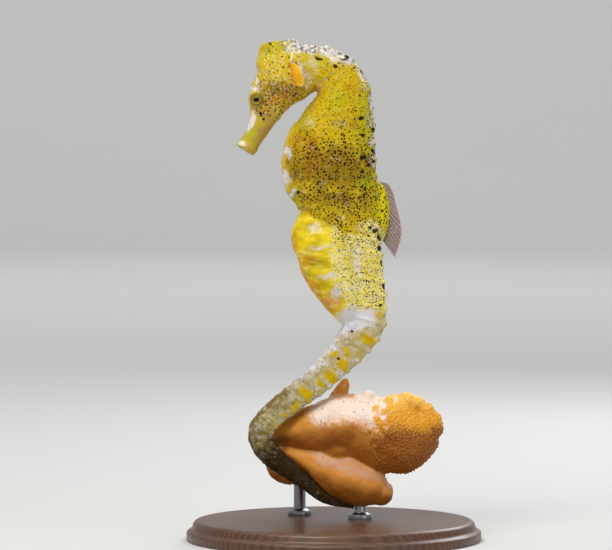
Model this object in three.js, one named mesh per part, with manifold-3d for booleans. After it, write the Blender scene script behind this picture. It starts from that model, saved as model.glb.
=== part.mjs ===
// A male spotted seahorse, life size, its tail gripping a cut length of finger coral on a display stand.
// Units are millimetres. +Z is up, the animal faces -X and its left side faces -Y.
// The origin is the middle of the stand base's underside.

import * as THREE from "three";
import { mergeVertices } from "three/addons/utils/BufferGeometryUtils.js";
import Module from "manifold-3d";

const wasm = await Module();
wasm.setup();

// ---- Driving dimensions ----

const SEAM = 0.3; // gap between solids that touch
const ACROSS = new THREE.Vector3(0, 1, 0); // from the animal's left side to its right
const FIN_THICKNESS = 0.6;

// The body's outline in its own middle plane, y = 0: the back and the belly edge of one cross-section, as
// [x, z], and the width of that section. Sections fan round the throat, where the head bends down.
const OUTLINE = [
  { name: "mouth", back: [-24.2, 98.9], belly: [-19.9, 97.0], width: 4.4 },
  { name: "snout", back: [-22.1, 102.5], belly: [-17.3, 100.8], width: 4.1 },
  { name: "snout root", back: [-21.0, 106.3], belly: [-14.2, 104.9], width: 5.2 },
  { name: "eye", back: [-21.1, 110.4], belly: [-11.0, 108.5], width: 7.0 },
  { name: "cheek", back: [-20.4, 114.7], belly: [-7.4, 110.6], width: 9.2 },
  { name: "gill", back: [-19.7, 119.6], belly: [-5.5, 112.0], width: 10.2 },
  { name: "crown", back: [-16.3, 123.2], belly: [-4.8, 112.4], width: 9.8 },
  { name: "nape", back: [-8.9, 124.3], belly: [-4.3, 112.4], width: 9.4 },
  { name: "neck", back: [-1.2, 123.4], belly: [-4.1, 111.8], width: 9.8 },
  { name: "shoulder", back: [4.8, 120.0], belly: [-4.8, 110.7], width: 11.0 },
  { name: "upper chest", back: [9.0, 113.0], belly: [-7.0, 108.0], width: 13.2 },
  { name: "chest", back: [10.2, 101.5], belly: [-11.2, 100.5], width: 15.4 },
  { name: "waist", back: [10.6, 91.0], belly: [-12.1, 91.0], width: 15.6 },
  { name: "vent", back: [11.4, 80.5], belly: [-8.0, 81.8], width: 13.6 },
  { name: "tail root", back: [12.2, 68.2], belly: [0.0, 70.3], width: 11.2 },
  { name: "tail base", back: [13.0, 57.0], belly: [2.7, 58.6], width: 9.8 },
];

// The tail below its base: the middle of each section, its depth across the tail, and its sway to the side.
const TAIL = [
  { at: [6.6, 52.0], depth: 9.2, sway: 0 },
  { at: [-2.0, 42.0], depth: 7.0, sway: -0.4 },
  { at: [-14.2, 32.4], depth: 6.1, sway: -0.6 },
  { at: [-18.4, 27.2], depth: 6.1, sway: -0.5 },
  { at: [-16.8, 22.3], depth: 5.5, sway: -0.3 },
  { at: [-7.8, 14.9], depth: 3.6, sway: 0 },
  { at: [-2.0, 10.3], depth: 2.5, sway: 0.4 },
  { at: [5.0, 8.0], depth: 0.7, sway: 1.0 },
];
const TAIL_WIDTH = 0.95; // width of a tail section as a share of its depth

const TRUNK_RINGS = 11;
const NECK_RINGS = 3; // how many of them make the neck
const TAIL_RINGS = 35;
const TAIL_LENGTHS = [6, 12, 17, 22, 28, TAIL_RINGS]; // tail ring where each length of the tail ends
const FIRST_TAIL_RING = 3.7; // length of the first tail ring
const NECK_START = 27; // length of the head along the middle of the body
const TRUNK_RIDGE = 0.35; // how far ring edges stand out on the ridges
const TAIL_RIDGE = 0.45;
const FULL_RIDGE_DEPTH = 3; // half depth of a section under which its ridges get lower

// Ring shapes from the middle of the back to the middle of the belly, as [share of half depth, share of half
// width]. Their corners are the long ridges of the armour: seven on the trunk, four on the tail.
const TRUNK_SHAPE = [
  [0.94, 0], [0.98, 0.48], [0.62, 0.86], [0.12, 1], [-0.36, 0.92], [-0.66, 0.7], [-0.87, 0.36], [-1, 0],
];
const TAIL_SHAPE = [
  [0.88, 0], [0.97, 0.74], [0.55, 0.94], [0, 0.95], [-0.55, 0.94], [-0.97, 0.74], [-0.92, 0.36], [-0.88, 0],
];
const TRUNK_RIDGES = [1, 3, 5, 7]; // which corners are ridges
const TAIL_RIDGES = [1, 5];
const HALF_RING = TRUNK_SHAPE.length - 1; // steps from the back to the belly
const OFF_RIDGE = 0.3; // how far the rest of a ring's edge stands out, as a share of its ridges
const WAIST = 0.35; // how far the skin sinks between ring edges, as a share of the ridges' height
const BLEND_IN = { before: 4, after: 8 }; // where the round head turns into armour, about the trunk's start
const BLEND_TAIL = { before: 6, after: 14 }; // where seven ridges turn into four, about the trunk's end

const SNOUT_ROOT = 9.4; // distance from the mouth to where the snout meets the head
const LIPS = { length: 1.5, height: 0.35 };
const EYE = { x: -19.1, y: 2.55, z: 110.4, radius: 1.5 };
const EYE_TURRET = { x: -18.8, y: 1.6, z: 110.5, size: [2.6, 2.2, 2.7], tilt: 0 };
const GILL_COVER = { x: -12.4, y: 3.2, z: 115.0, size: [4.6, 2.7, 4.2], tilt: 30 };
const CORONET = { x: -13.2, z: 120.9, tilt: 9, length: 10.4, width: 6.4, height: 4.6, lobes: 5 };

const POUCH = [
  { back: [3.0, 84.0], belly: [-8.6, 82.0], width: 7.0 },
  { back: [5.5, 79.5], belly: [-10.6, 77.0], width: 13.0 },
  { back: [6.5, 73.0], belly: [-9.6, 70.6], width: 15.6 },
  { back: [7.5, 66.0], belly: [-6.6, 64.4], width: 15.2 },
  { back: [8.0, 60.0], belly: [-2.4, 58.6], width: 12.4 },
  { back: [7.6, 55.6], belly: [1.4, 54.6], width: 8.2 },
];

const DORSAL_FIN = {
  rays: 18,
  baseTop: [9.6, 90.2],
  baseBottom: [11.4, 74.6],
  rayLength: 9.0,
  firstRay: 0.5, // length of the shortest ray as a share of the longest
  sweep: [28, 62], // degrees that the first and the last rays hang below level
  wave: 0.5,
};
const FIN_HUMP = { x: 10.4, y: 0, z: 82.6, size: [4.2, 3.3, 8.4], tilt: 5 };
const PECTORAL_FIN = { rays: 14, x: -12.4, y: 4.6, z: 115.2, radius: 5.6, facing: 2, spread: 74, flare: 24 };
const ANAL_FIN = { rays: 4, base: [-7.6, 83.6], length: 2.4, facing: 215, spread: 40 };

// Coral limbs: [x, y, z, half height, half width across the camera's view].
const FINGER = [
  [-13.4, 2.6, 26.4, 2.6, 2.4],
  [-8.4, 2.8, 27.2, 5.0, 4.6],
  [-1.2, 2.2, 28.6, 6.7, 5.8],
  [6.0, 1.4, 30.0, 6.5, 5.8],
  [12.4, 0.6, 29.4, 8.2, 6.2],
  [18.0, 0.2, 27.4, 9.4, 6.2],
  [24.6, 0.2, 26.6, 4.4, 3.2],
];
const LOBE = [
  [-11.4, 2.8, 21.6, 1.7, 2.2],
  [-6.6, 2.8, 19.6, 3.4, 3.6],
  [-1.2, 2.4, 17.0, 5.2, 4.8],
  [4.8, 1.8, 14.7, 5.9, 5.2],
  [9.4, 1.4, 12.8, 5.2, 4.6],
  [12.6, 1.2, 11.2, 2.8, 2.4],
];
const STEM = [
  [1.0, 3.4, 23.4, 5.6, 5.2],
  [-3.8, 7.8, 21.8, 7.4, 6.8],
  [-9.0, 12.4, 20.2, 7.2, 6.6],
  [-13.6, 16.6, 19.0, 6.6, 6.2],
];
const LIMB_END = 1.6; // how far a limb's round end stands past its last point

const BASE = { radius: 37, thickness: 5, turns: 36 };
const RODS = [
  { name: "stand_rod_stem", x: -8.6, y: 12.2, top: 17 },
  { name: "stand_rod_lobe", x: 6.6, y: 2.2, top: 12 },
];
const ROD_RADIUS = 1.5;

const FINISHES = {
  skin: { color: 0xd0b41e, roughness: 0.6, metalness: 0 },
  pouch: { color: 0xe0bd32, roughness: 0.5, metalness: 0 },
  tail: { color: 0x8d8160, roughness: 0.6, metalness: 0 },
  fin: { color: 0xcdb7a6, roughness: 0.4, metalness: 0 },
  eye: { color: 0x1c1710, roughness: 0.1, metalness: 0 },
  coral: { color: 0xd8903f, roughness: 0.8, metalness: 0 },
  wood: { color: 0x4a2f1d, roughness: 0.5, metalness: 0 },
  steel: { color: 0xb9bcc0, roughness: 0.3, metalness: 1 },
};

// ---- Solids ----

/** A manifold solid of a closed three.js geometry. */
function solidOf(geometry) {
  const bare = geometry.index ? geometry.toNonIndexed() : geometry.clone();
  for (const name of Object.keys(bare.attributes)) if (name !== "position") bare.deleteAttribute(name);
  const merged = mergeVertices(bare, 1e-4);
  return new wasm.Manifold(
    new wasm.Mesh({
      numProp: 3,
      vertProperties: new Float32Array(merged.attributes.position.array),
      triVerts: new Uint32Array(merged.index.array),
    }),
  );
}

/** The geometry of a manifold solid. */
function geometryOf(solid) {
  const mesh = solid.getMesh();
  const points = [];
  for (let i = 0; i < mesh.numVert; i++) {
    points.push(...mesh.vertProperties.subarray(i * mesh.numProp, i * mesh.numProp + 3));
  }
  const geometry = new THREE.BufferGeometry();
  geometry.setAttribute("position", new THREE.Float32BufferAttribute(points, 3));
  geometry.setIndex(Array.from(mesh.triVerts));
  const flat = geometry.toNonIndexed();
  flat.computeVertexNormals();
  return flat;
}

/** A smooth curve through points, evenly shared between them. */
function curve(points) {
  return new THREE.CatmullRomCurve3(points, false, "catmullrom", 0.5);
}

/** The solid inside a closed skin of triangles, whichever way round they are all listed. */
function closed(points, faces) {
  const skin = (list) => solidOf(new THREE.BufferGeometry().setFromPoints(points).setIndex(list.flat()));
  const solid = skin(faces);
  return solid.volume() > 0 ? solid : skin(faces.map((face) => face.toReversed()));
}

/** A closed skin over a run of sections, each a ring of the same number of points. */
function loft(sections) {
  const sides = sections[0].length;
  const points = sections.flat();
  const faces = [];
  for (let row = 0; row + 1 < sections.length; row++) {
    for (let i = 0; i < sides; i++) {
      const next = (i + 1) % sides;
      const [here, above] = [row * sides, (row + 1) * sides];
      const [a, b, c, d] = [here + i, here + next, above + next, above + i];
      faces.push([a, b, c], [a, c, d]);
    }
  }
  const ends = [sections[0], sections.at(-1)].map((ring) =>
    ring.reduce((sum, p) => sum.add(p), new THREE.Vector3()).divideScalar(sides),
  );
  const [first, last] = [points.length, points.length + 1];
  points.push(...ends);
  const lastRow = (sections.length - 1) * sides;
  for (let i = 0; i < sides; i++) {
    const next = (i + 1) % sides;
    faces.push([first, next, i], [last, lastRow + i, lastRow + next]);
  }
  return closed(points, faces);
}

/** An ellipsoid with half sizes along X, Y and Z, then tilted about Y. */
function ellipsoid({ x, y, z, size, tilt = 0 }, across = 12, high = 8) {
  const geometry = new THREE.SphereGeometry(1, across, high);
  geometry.scale(...size);
  geometry.rotateY(THREE.MathUtils.degToRad(tilt));
  geometry.translate(x, y, z);
  return solidOf(geometry);
}

// ---- The body ----

/** Outline points for the tail, whose sections stand square to its middle line. */
function tailStations() {
  const before = OUTLINE.at(-1);
  const root = [(before.back[0] + before.belly[0]) / 2, (before.back[1] + before.belly[1]) / 2];
  return TAIL.map(({ at, depth, sway }, i) => {
    const from = i ? TAIL[i - 1].at : root;
    const to = (TAIL[i + 1] ?? TAIL[i]).at;
    const run = new THREE.Vector2(to[0] - from[0], to[1] - from[1]).normalize();
    const half = new THREE.Vector2(-run.y, run.x).multiplyScalar(depth / 2);
    return {
      back: [at[0] + half.x, at[1] + half.y],
      belly: [at[0] - half.x, at[1] - half.y],
      width: depth * TAIL_WIDTH,
      sway,
    };
  });
}

/** A run of sections between a back and a belly outline, found by the distance along its middle line. */
class Spine {
  constructor(stations, samples = 400) {
    this.back = curve(stations.map((s) => new THREE.Vector3(s.back[0], s.sway ?? 0, s.back[1])));
    this.belly = curve(stations.map((s) => new THREE.Vector3(s.belly[0], s.sway ?? 0, s.belly[1])));
    this.width = curve(stations.map((s) => new THREE.Vector3(s.width, 0, 0)));
    this.reach = [0];
    for (let i = 1; i <= samples; i++) {
      const step = this.frame(i / samples).middle.distanceTo(this.frame((i - 1) / samples).middle);
      this.reach.push(this.reach[i - 1] + step);
    }
    this.length = this.reach.at(-1);
  }

  /** The section at a share of the stations. */
  frame(t) {
    const back = this.back.getPoint(t);
    const belly = this.belly.getPoint(t);
    const half = back.clone().sub(belly).multiplyScalar(0.5);
    return {
      middle: back.clone().add(belly).multiplyScalar(0.5),
      dorsal: half.clone().normalize(),
      halfDepth: half.length(),
      halfWidth: this.width.getPoint(t).x / 2,
    };
  }

  /** The section at a distance from the mouth. */
  at(distance) {
    const found = this.reach.findIndex((r) => r >= distance);
    const i = Math.max(1, found < 0 ? this.reach.length - 1 : found);
    const share = (distance - this.reach[i - 1]) / (this.reach[i] - this.reach[i - 1]);
    return this.frame(THREE.MathUtils.clamp((i - 1 + share) / (this.reach.length - 1), 0, 1));
  }
}

const spine = new Spine([...OUTLINE, ...tailStations()]);

/** Distances from the mouth to every ring edge, from the neck to the tip of the tail. */
function ringEdges() {
  const step = (ventDistance() - NECK_START) / TRUNK_RINGS;
  const edges = Array.from({ length: TRUNK_RINGS + 1 }, (_, i) => NECK_START + step * i);
  const tailLength = spine.length - edges.at(-1);
  const shrink = (2 * (FIRST_TAIL_RING * TAIL_RINGS - tailLength)) / (TAIL_RINGS * (TAIL_RINGS - 1));
  for (let i = 0; i < TAIL_RINGS; i++) edges.push(edges.at(-1) + FIRST_TAIL_RING - shrink * i);
  return edges;
}

/** The distance from the mouth to the end of the trunk, just below the vent. */
function ventDistance() {
  const vent = OUTLINE.findIndex((s) => s.name === "vent") + 0.15;
  return spine.reach[Math.round((vent / (OUTLINE.length + TAIL.length - 1)) * (spine.reach.length - 1))];
}

const EDGES = ringEdges();
const [TRUNK_START, TRUNK_END] = [EDGES[0], EDGES[TRUNK_RINGS]];

/** The points round a section. Rise is 1 on a ring's edge and 0 between edges; grow moves the skin outwards. */
function ringAt(distance, rise = 0, grow = 0) {
  const { middle, dorsal, halfDepth, halfWidth } = spine.at(distance);
  const blend = (at, { before, after }) => THREE.MathUtils.smoothstep(distance, at - before, at + after);
  const trunk = blend(TRUNK_START, BLEND_IN);
  const tail = blend(TRUNK_END, BLEND_TAIL);
  const ridge = THREE.MathUtils.lerp(TRUNK_RIDGE, TAIL_RIDGE, tail);
  const height = ridge * Math.min(1, halfDepth / FULL_RIDGE_DEPTH);
  const half = TRUNK_SHAPE.map((corner, i) => {
    const turn = (Math.PI * i) / HALF_RING;
    const round = [Math.cos(turn), Math.sin(turn)];
    const armour = [0, 1].map((k) => THREE.MathUtils.lerp(corner[k], TAIL_SHAPE[i][k], tail));
    const [deep, wide] = [0, 1].map((k) => THREE.MathUtils.lerp(round[k], armour[k], trunk));
    const onRidge = TAIL_RIDGES.includes(i) ? 1 : TRUNK_RIDGES.includes(i) ? 1 - tail : OFF_RIDGE;
    const out = (rise * onRidge - WAIST * (1 - rise)) * height * trunk + grow;
    const along = new THREE.Vector2(deep, wide).normalize().multiplyScalar(out);
    return [deep * halfDepth + along.x, wide * halfWidth + along.y];
  });
  const place = ([deep, wide], side) =>
    middle.clone().addScaledVector(dorsal, deep).add(new THREE.Vector3(0, side * wide, 0));
  const left = half.map((p) => place(p, -1));
  const right = half.slice(1, -1).reverse().map((p) => place(p, 1));
  return [...left, ...right];
}

/** A length of the armoured body between two ring edges, with a low waist between the edges of each ring. */
function armour(firstEdge, lastEdge, grow = 0, steps = 2) {
  const sections = [];
  for (let i = firstEdge; i <= lastEdge; i++) {
    const inset = (i === firstEdge) - (i === lastEdge);
    sections.push(ringAt(EDGES[i] + inset * (SEAM / 2 - grow), 1, grow));
    for (let step = 1; i < lastEdge && step < steps; step++) {
      const share = step / steps;
      const rise = (1 + Math.cos(2 * Math.PI * share)) / 2;
      sections.push(ringAt(THREE.MathUtils.lerp(EDGES[i], EDGES[i + 1], share), rise, grow));
    }
  }
  return loft(sections);
}

/** A smooth length of the head between two distances from the mouth. */
function headLength(from, to, steps, grow = 0) {
  const distances = Array.from({ length: steps + 1 }, (_, i) => THREE.MathUtils.lerp(from, to, i / steps));
  return loft(distances.map((distance) => ringAt(distance, 0, grow)));
}

/** A tube that swells to lips round the mouth. */
function snout() {
  const { length, height } = LIPS;
  const steps = 5;
  const end = SNOUT_ROOT - SEAM / 2;
  const tube = Array.from({ length: steps + 1 }, (_, i) => ringAt(THREE.MathUtils.lerp(length, end, i / steps)));
  return loft([ringAt(0, 0, -height / 2), ringAt(length / 3, 0, height), ...tube]);
}

/** The skull with a bulge on each side for the gill cover and for the eye's turret. */
function skull(grow = 0) {
  const swollen = (shape) => ({ ...shape, size: shape.size.map((half) => half + grow) });
  const pair = (shape) => ellipsoid({ ...shape, y: -shape.y }).add(ellipsoid(shape));
  return headLength(SNOUT_ROOT + SEAM / 2 - grow, TRUNK_START - SEAM / 2 + grow, 8, grow)
    .add(pair(swollen(EYE_TURRET)))
    .add(pair(swollen(GILL_COVER)));
}

/** The neck's first rings, swollen by the seam: what the pieces beside the neck keep clear of. */
function neckRoom() {
  return armour(0, NECK_RINGS, SEAM);
}

function head() {
  return skull()
    .subtract(headLength(0, SNOUT_ROOT - SEAM / 2, 6, SEAM))
    .subtract(neckRoom())
    .subtract(eyeball(-1, SEAM))
    .subtract(eyeball(1, SEAM));
}

function eyeball(side, grow = 0) {
  const geometry = new THREE.SphereGeometry(EYE.radius + grow, 14, 9);
  geometry.translate(EYE.x, side * EYE.y, EYE.z);
  return solidOf(geometry);
}

/** A low crown with blunt lobes, wider at its rim than at its foot. */
function coronet() {
  const { length, width, height, lobes } = CORONET;
  const sides = 4 * lobes;
  const levels = [
    { up: -0.4, size: 0.76, lobe: 0 },
    { up: 0.5, size: 0.84, lobe: 0.02 },
    { up: 0.8, size: 1, lobe: 0.06 },
    { up: 1, size: 0.84, lobe: 0.08 },
    { up: 0.88, size: 0.35, lobe: 0 },
  ];
  const tilt = THREE.MathUtils.degToRad(CORONET.tilt);
  const sections = levels.map(({ up, size, lobe }) =>
    Array.from({ length: sides }, (_, i) => {
      const turn = (2 * Math.PI * i) / sides;
      const reach = size * (1 + lobe * Math.cos(lobes * turn));
      const [along, across] = [(length / 2) * reach * Math.cos(turn), (width / 2) * reach * Math.sin(turn)];
      return new THREE.Vector3(along, across, up * height)
        .applyAxisAngle(ACROSS, -tilt)
        .add(new THREE.Vector3(CORONET.x, 0, CORONET.z));
    }),
  );
  return loft(sections).subtract(skull(SEAM)).subtract(neckRoom());
}

/** The rings behind the pouch and the dorsal and anal fins, swollen by the seam. */
function bodyRoom() {
  return armour(TRUNK_RINGS - 6, TRUNK_RINGS + 12, SEAM);
}

/** The whole bag, with the part that lies inside the body. */
function pouchBag(grow = 0) {
  const bag = new Spine(POUCH, 60);
  const steps = 8;
  const sides = 16;
  const sections = Array.from({ length: steps + 1 }, (_, row) => {
    const { middle, dorsal, halfDepth, halfWidth } = bag.frame(row / steps);
    return Array.from({ length: sides }, (_, i) => {
      const turn = (2 * Math.PI * i) / sides;
      const across = new THREE.Vector3(0, -Math.sin(turn) * (halfWidth + grow), 0);
      return middle.clone().addScaledVector(dorsal, Math.cos(turn) * (halfDepth + grow)).add(across);
    });
  });
  return loft(sections);
}

function pouch() {
  return pouchBag().subtract(bodyRoom());
}

// ---- Fins ----

/** A thin fan between the feet and the tips of its rays, as thick as a fin along its flat side's normals. */
function fan(feet, tips, normals) {
  const edge = [...feet, ...tips.toReversed()];
  const lift = [...normals, ...normals.toReversed()];
  const side = (sign) => edge.map((p, i) => p.clone().addScaledVector(lift[i], (sign * FIN_THICKNESS) / 2));
  const total = edge.length;
  const faces = [];
  for (let i = 0; i + 1 < feet.length; i++) {
    const [a, b, c, d] = [i, i + 1, total - 2 - i, total - 1 - i];
    faces.push([a, b, c], [a, c, d], [total + a, total + c, total + b], [total + a, total + d, total + c]);
  }
  for (let i = 0; i < total; i++) {
    const next = (i + 1) % total;
    faces.push([i, total + i, total + next], [i, total + next, next]);
  }
  return closed([...side(-1), ...side(1)], faces);
}

function dorsalFin() {
  const { rays, baseTop, baseBottom, rayLength, firstRay, sweep, wave } = DORSAL_FIN;
  const feet = [];
  const tips = [];
  for (let i = 0; i < rays; i++) {
    const share = i / (rays - 1);
    const [x, z] = [0, 1].map((k) => THREE.MathUtils.lerp(baseTop[k], baseBottom[k], share));
    const length = rayLength * THREE.MathUtils.lerp(firstRay, 1, Math.sin(Math.PI * (0.2 + share * 0.8)));
    const down = THREE.MathUtils.degToRad(THREE.MathUtils.lerp(...sweep, Math.min(1, share * 2)));
    const ripple = wave * Math.sin(3 * Math.PI * share);
    feet.push(new THREE.Vector3(x, 0, z));
    tips.push(new THREE.Vector3(x + length * Math.cos(down), ripple, z - length * Math.sin(down)));
  }
  return fan(feet, tips, feet.map(() => ACROSS)).subtract(finHump(SEAM)).subtract(bodyRoom());
}

/** The fleshy rise that carries the dorsal fin. */
function finHump(grow = 0) {
  return ellipsoid({ ...FIN_HUMP, size: FIN_HUMP.size.map((half) => half + grow) }, 12, 11);
}

function pectoralFin(side) {
  const { rays, x, y, z, radius, facing, spread, flare } = PECTORAL_FIN;
  const lean = THREE.MathUtils.degToRad(flare);
  const root = new THREE.Vector3(x, side * y, z);
  const normal = new THREE.Vector3(-Math.sin(lean), side * Math.cos(lean), 0);
  const feet = [];
  const tips = [];
  for (let i = 0; i < rays; i++) {
    const turn = THREE.MathUtils.degToRad(facing + spread * (i / (rays - 1) - 0.5));
    const ray = new THREE.Vector3(Math.cos(turn) * Math.cos(lean), side * Math.sin(lean), Math.sin(turn));
    feet.push(root.clone().addScaledVector(ray, radius * 0.2));
    tips.push(root.clone().addScaledVector(ray, radius));
  }
  return fan(feet, tips, feet.map(() => normal)).subtract(skull(SEAM)).subtract(neckRoom());
}

function analFin() {
  const { rays, base, length, facing, spread } = ANAL_FIN;
  const foot = new THREE.Vector3(base[0], 0, base[1]);
  const rayDirections = Array.from({ length: rays }, (_, i) => {
    const turn = THREE.MathUtils.degToRad(facing + spread * (i / (rays - 1) - 0.5));
    return new THREE.Vector3(Math.cos(turn), 0, Math.sin(turn));
  });
  const reach = (distance) => rayDirections.map((ray) => foot.clone().addScaledVector(ray, distance));
  const blade = fan(reach(0.3), reach(length), rayDirections.map(() => ACROSS));
  return blade.subtract(bodyRoom()).subtract(pouchBag(SEAM));
}

// ---- Perch and stand ----

/** A coral limb through points with their own half height and half width. */
function limb(points, sides = 12, steps = 2) {
  const path = curve(points.map(([x, y, z]) => new THREE.Vector3(x, y, z)));
  const sizes = curve(points.map(([, , , high, wide]) => new THREE.Vector3(high, wide, 0)));
  const rows = (points.length - 1) * steps;
  const sections = Array.from({ length: rows + 1 }, (_, row) => {
    const t = row / rows;
    const run = path.getTangent(t);
    const across = new THREE.Vector3().crossVectors(run, new THREE.Vector3(0, 0, 1)).normalize();
    const up = new THREE.Vector3().crossVectors(across, run).normalize();
    const size = sizes.getPoint(t);
    return Array.from({ length: sides }, (_, i) => {
      const turn = (2 * Math.PI * i) / sides;
      const edge = path.getPoint(t).addScaledVector(up, size.x * Math.cos(turn));
      return edge.addScaledVector(across, size.y * Math.sin(turn));
    });
  });
  return loft(sections);
}

function rod({ x, y, top }, grow = 0) {
  const from = BASE.thickness + SEAM / 2;
  const geometry = new THREE.CylinderGeometry(ROD_RADIUS + grow, ROD_RADIUS + grow, top - from + grow, 16);
  geometry.rotateX(Math.PI / 2);
  geometry.translate(x, y, (from + top + grow) / 2);
  return solidOf(geometry);
}

function perch() {
  const grip = armour(TRUNK_RINGS + 8, TRUNK_RINGS + TAIL_RINGS, SEAM);
  const tips = [FINGER, LOBE].map((points) => {
    const [x, y, z, high, wide] = points.at(-1);
    return ellipsoid({ x, y, z, size: [LIMB_END, wide, high] });
  });
  const branch = [limb(LOBE), limb(STEM), ...tips].reduce((whole, piece) => whole.add(piece), limb(FINGER));
  return [grip, ...RODS.map((r) => rod(r, SEAM))].reduce((whole, hole) => whole.subtract(hole), branch);
}

/** A turned disc with a stepped, rounded edge. */
function standBase() {
  const { radius, thickness, turns } = BASE;
  const profile = [
    [0, 0], [radius - 0.5, 0], [radius, 0.5], [radius, 2.2], [radius - 1.4, 2.9],
    [radius - 1.8, thickness - 0.6], [radius - 2.6, thickness], [0, thickness],
  ].map(([r, z]) => new THREE.Vector2(r, z));
  const geometry = new THREE.LatheGeometry(profile, turns);
  geometry.rotateX(Math.PI / 2);
  return solidOf(geometry);
}

// ---- The model ----

const [seahorse, support] = [new THREE.Group(), new THREE.Group()];
const model = new THREE.Group().add(seahorse, support);

/** Adds a solid to a group as a named mesh with a finish. */
function show(parent, name, solid, finish) {
  const mesh = new THREE.Mesh(geometryOf(solid), new THREE.MeshStandardMaterial(FINISHES[finish]));
  mesh.name = name;
  parent.add(mesh);
}

show(seahorse, "snout", snout(), "skin");
show(seahorse, "head", head(), "skin");
show(seahorse, "coronet", coronet(), "skin");
show(seahorse, "eye_left", eyeball(-1), "eye");
show(seahorse, "eye_right", eyeball(1), "eye");
show(seahorse, "neck", armour(0, NECK_RINGS, 0, 3), "skin");
show(seahorse, "trunk", armour(NECK_RINGS, TRUNK_RINGS).subtract(finHump(SEAM)), "skin");
show(seahorse, "fin_hump", finHump(), "skin");
show(seahorse, "brood_pouch", pouch(), "pouch");

TAIL_LENGTHS.forEach((end, i) => {
  const length = armour(TRUNK_RINGS + (TAIL_LENGTHS[i - 1] ?? 0), TRUNK_RINGS + end);
  show(seahorse, `tail_${i + 1}`, i === 0 ? length.subtract(finHump(SEAM)) : length, "tail");
});

show(seahorse, "dorsal_fin", dorsalFin(), "fin");
show(seahorse, "pectoral_fin_left", pectoralFin(-1), "fin");
show(seahorse, "pectoral_fin_right", pectoralFin(1), "fin");
show(seahorse, "anal_fin", analFin(), "fin");

show(support, "perch_coral", perch(), "coral");
for (const r of RODS) show(support, r.name, rod(r), "steel");
show(support, "stand_base", standBase(), "wood");

export default model;
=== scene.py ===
"""A life-size male spotted seahorse that grips a cut length of finger coral, on a plain display stand."""

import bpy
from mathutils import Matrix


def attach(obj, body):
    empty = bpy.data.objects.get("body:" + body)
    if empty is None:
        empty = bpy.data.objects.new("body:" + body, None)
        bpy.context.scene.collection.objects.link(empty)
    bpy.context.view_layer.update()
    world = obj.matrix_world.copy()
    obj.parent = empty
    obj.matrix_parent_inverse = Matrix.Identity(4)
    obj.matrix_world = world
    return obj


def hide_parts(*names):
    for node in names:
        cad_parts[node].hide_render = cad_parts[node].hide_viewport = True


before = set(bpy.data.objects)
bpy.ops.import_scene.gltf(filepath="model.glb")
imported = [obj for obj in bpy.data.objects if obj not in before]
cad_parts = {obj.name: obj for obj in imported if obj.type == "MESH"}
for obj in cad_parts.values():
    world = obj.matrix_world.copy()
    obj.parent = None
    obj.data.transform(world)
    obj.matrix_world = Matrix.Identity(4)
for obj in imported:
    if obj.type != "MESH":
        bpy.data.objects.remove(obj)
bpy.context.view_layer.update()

import logging
import math
from dataclasses import dataclass, field
from enum import Enum
from functools import cached_property

import bmesh
import bpy
import numpy as np
from mathutils import Vector
from mathutils.kdtree import KDTree
from numpy.linalg import norm

MM = 0.001  # sizes below are in millimetres unless they say otherwise
BODY = "root"
LOG = logging.getLogger("seahorse")
MISS = -1e3  # the reach of a ray that meets nothing
SMOOTH_ANGLE = 35.0  # degrees; sharper edges stay crisp on turned pieces

CORNERS = 14  # corners round a section of the body, counted from the middle of the back
BELLY = CORNERS // 2  # the corner in the middle of the belly

Array = np.ndarray
Piece = bpy.types.Object
Material = bpy.types.Material
Colour = tuple[float, float, float]
Place = tuple[float, float, float]
Pair = tuple[float, float]
Faces = list[tuple[int, ...]]


class Slot(Enum):
    """The record's slots, one for each kind of finish that the pieces have."""

    SKIN = "skin"
    EYE = "eye"
    FIN = "fin"
    CORAL = "coral"
    WOOD = "wood"
    STEEL = "steel"


class Side(Enum):
    """A side of the animal; the left one looks along -Y."""

    LEFT = 1
    RIGHT = -1

    @property
    def word(self) -> str:
        """The side as the nodes' names have it."""
        return self.name.lower()


# ---- Curves and meshes ----


def catmull_rom(knots: Array, share: Array) -> Array:
    """Points on a smooth curve through knots, evenly shared between them.

    Args:
        knots: (n, k) values to pass through.
        share: positions along the curve, 0 at the first knot and 1 at the last.

    Returns:
        (len(share), k) values.
    """
    first = 2 * knots[0] - knots[1]
    last = 2 * knots[-1] - knots[-2]
    padded = np.vstack([first, knots, last])
    place = np.clip(share, 0, 1) * (len(knots) - 1)
    cell = np.minimum(place.astype(int), len(knots) - 2)
    t = (place - cell)[:, None]
    return rounded_between(*(padded[cell + i] for i in range(4)), t)


def rounded_between(a: Array, b: Array, c: Array, d: Array, t: Array) -> Array:
    """The smooth curve's value at share t of the way from b to c, with a before them and d after."""
    return 0.5 * (2 * b + (c - a) * t + (2 * a - 5 * b + 4 * c - d) * t**2 + (3 * (b - c) + d - a) * t**3)


def ramp(value: Array, low: float, high: float) -> Array:
    """0 below low, 1 above high and smooth between; low may be above high to turn it round."""
    t = np.clip((value - low) / (high - low), 0, 1)
    return t * t * (3 - 2 * t)


def bell(distance: Array, width: float) -> Array:
    """1 at no distance, falling smoothly to nearly nothing at twice the width."""
    return np.exp(-((distance / width) ** 2))


def smooth_noise(points: Array, scale: float, seed: int, octaves: int = 2) -> Array:
    """Soft noise between about -1 and 1 from sums of sine waves in scattered directions.

    Args:
        points: (..., 3) places in mm.
        scale: size of the largest waves in mm.
        seed: which waves are drawn.
        octaves: how many times the waves are halved.

    Returns:
        (...) values.
    """
    rng = np.random.default_rng(seed)
    total = np.zeros(points.shape[:-1])
    weight = 0.0
    for octave in range(octaves):
        size = scale / 2**octave
        strength = 0.5**octave
        for _ in range(9):
            direction = rng.normal(size=3)
            direction *= 2 * math.pi / (size * norm(direction)) * rng.uniform(0.7, 1.4)
            total += strength * np.sin(points @ direction + rng.uniform(0, 2 * math.pi))
        weight += strength * 2.2
    return total / weight


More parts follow.
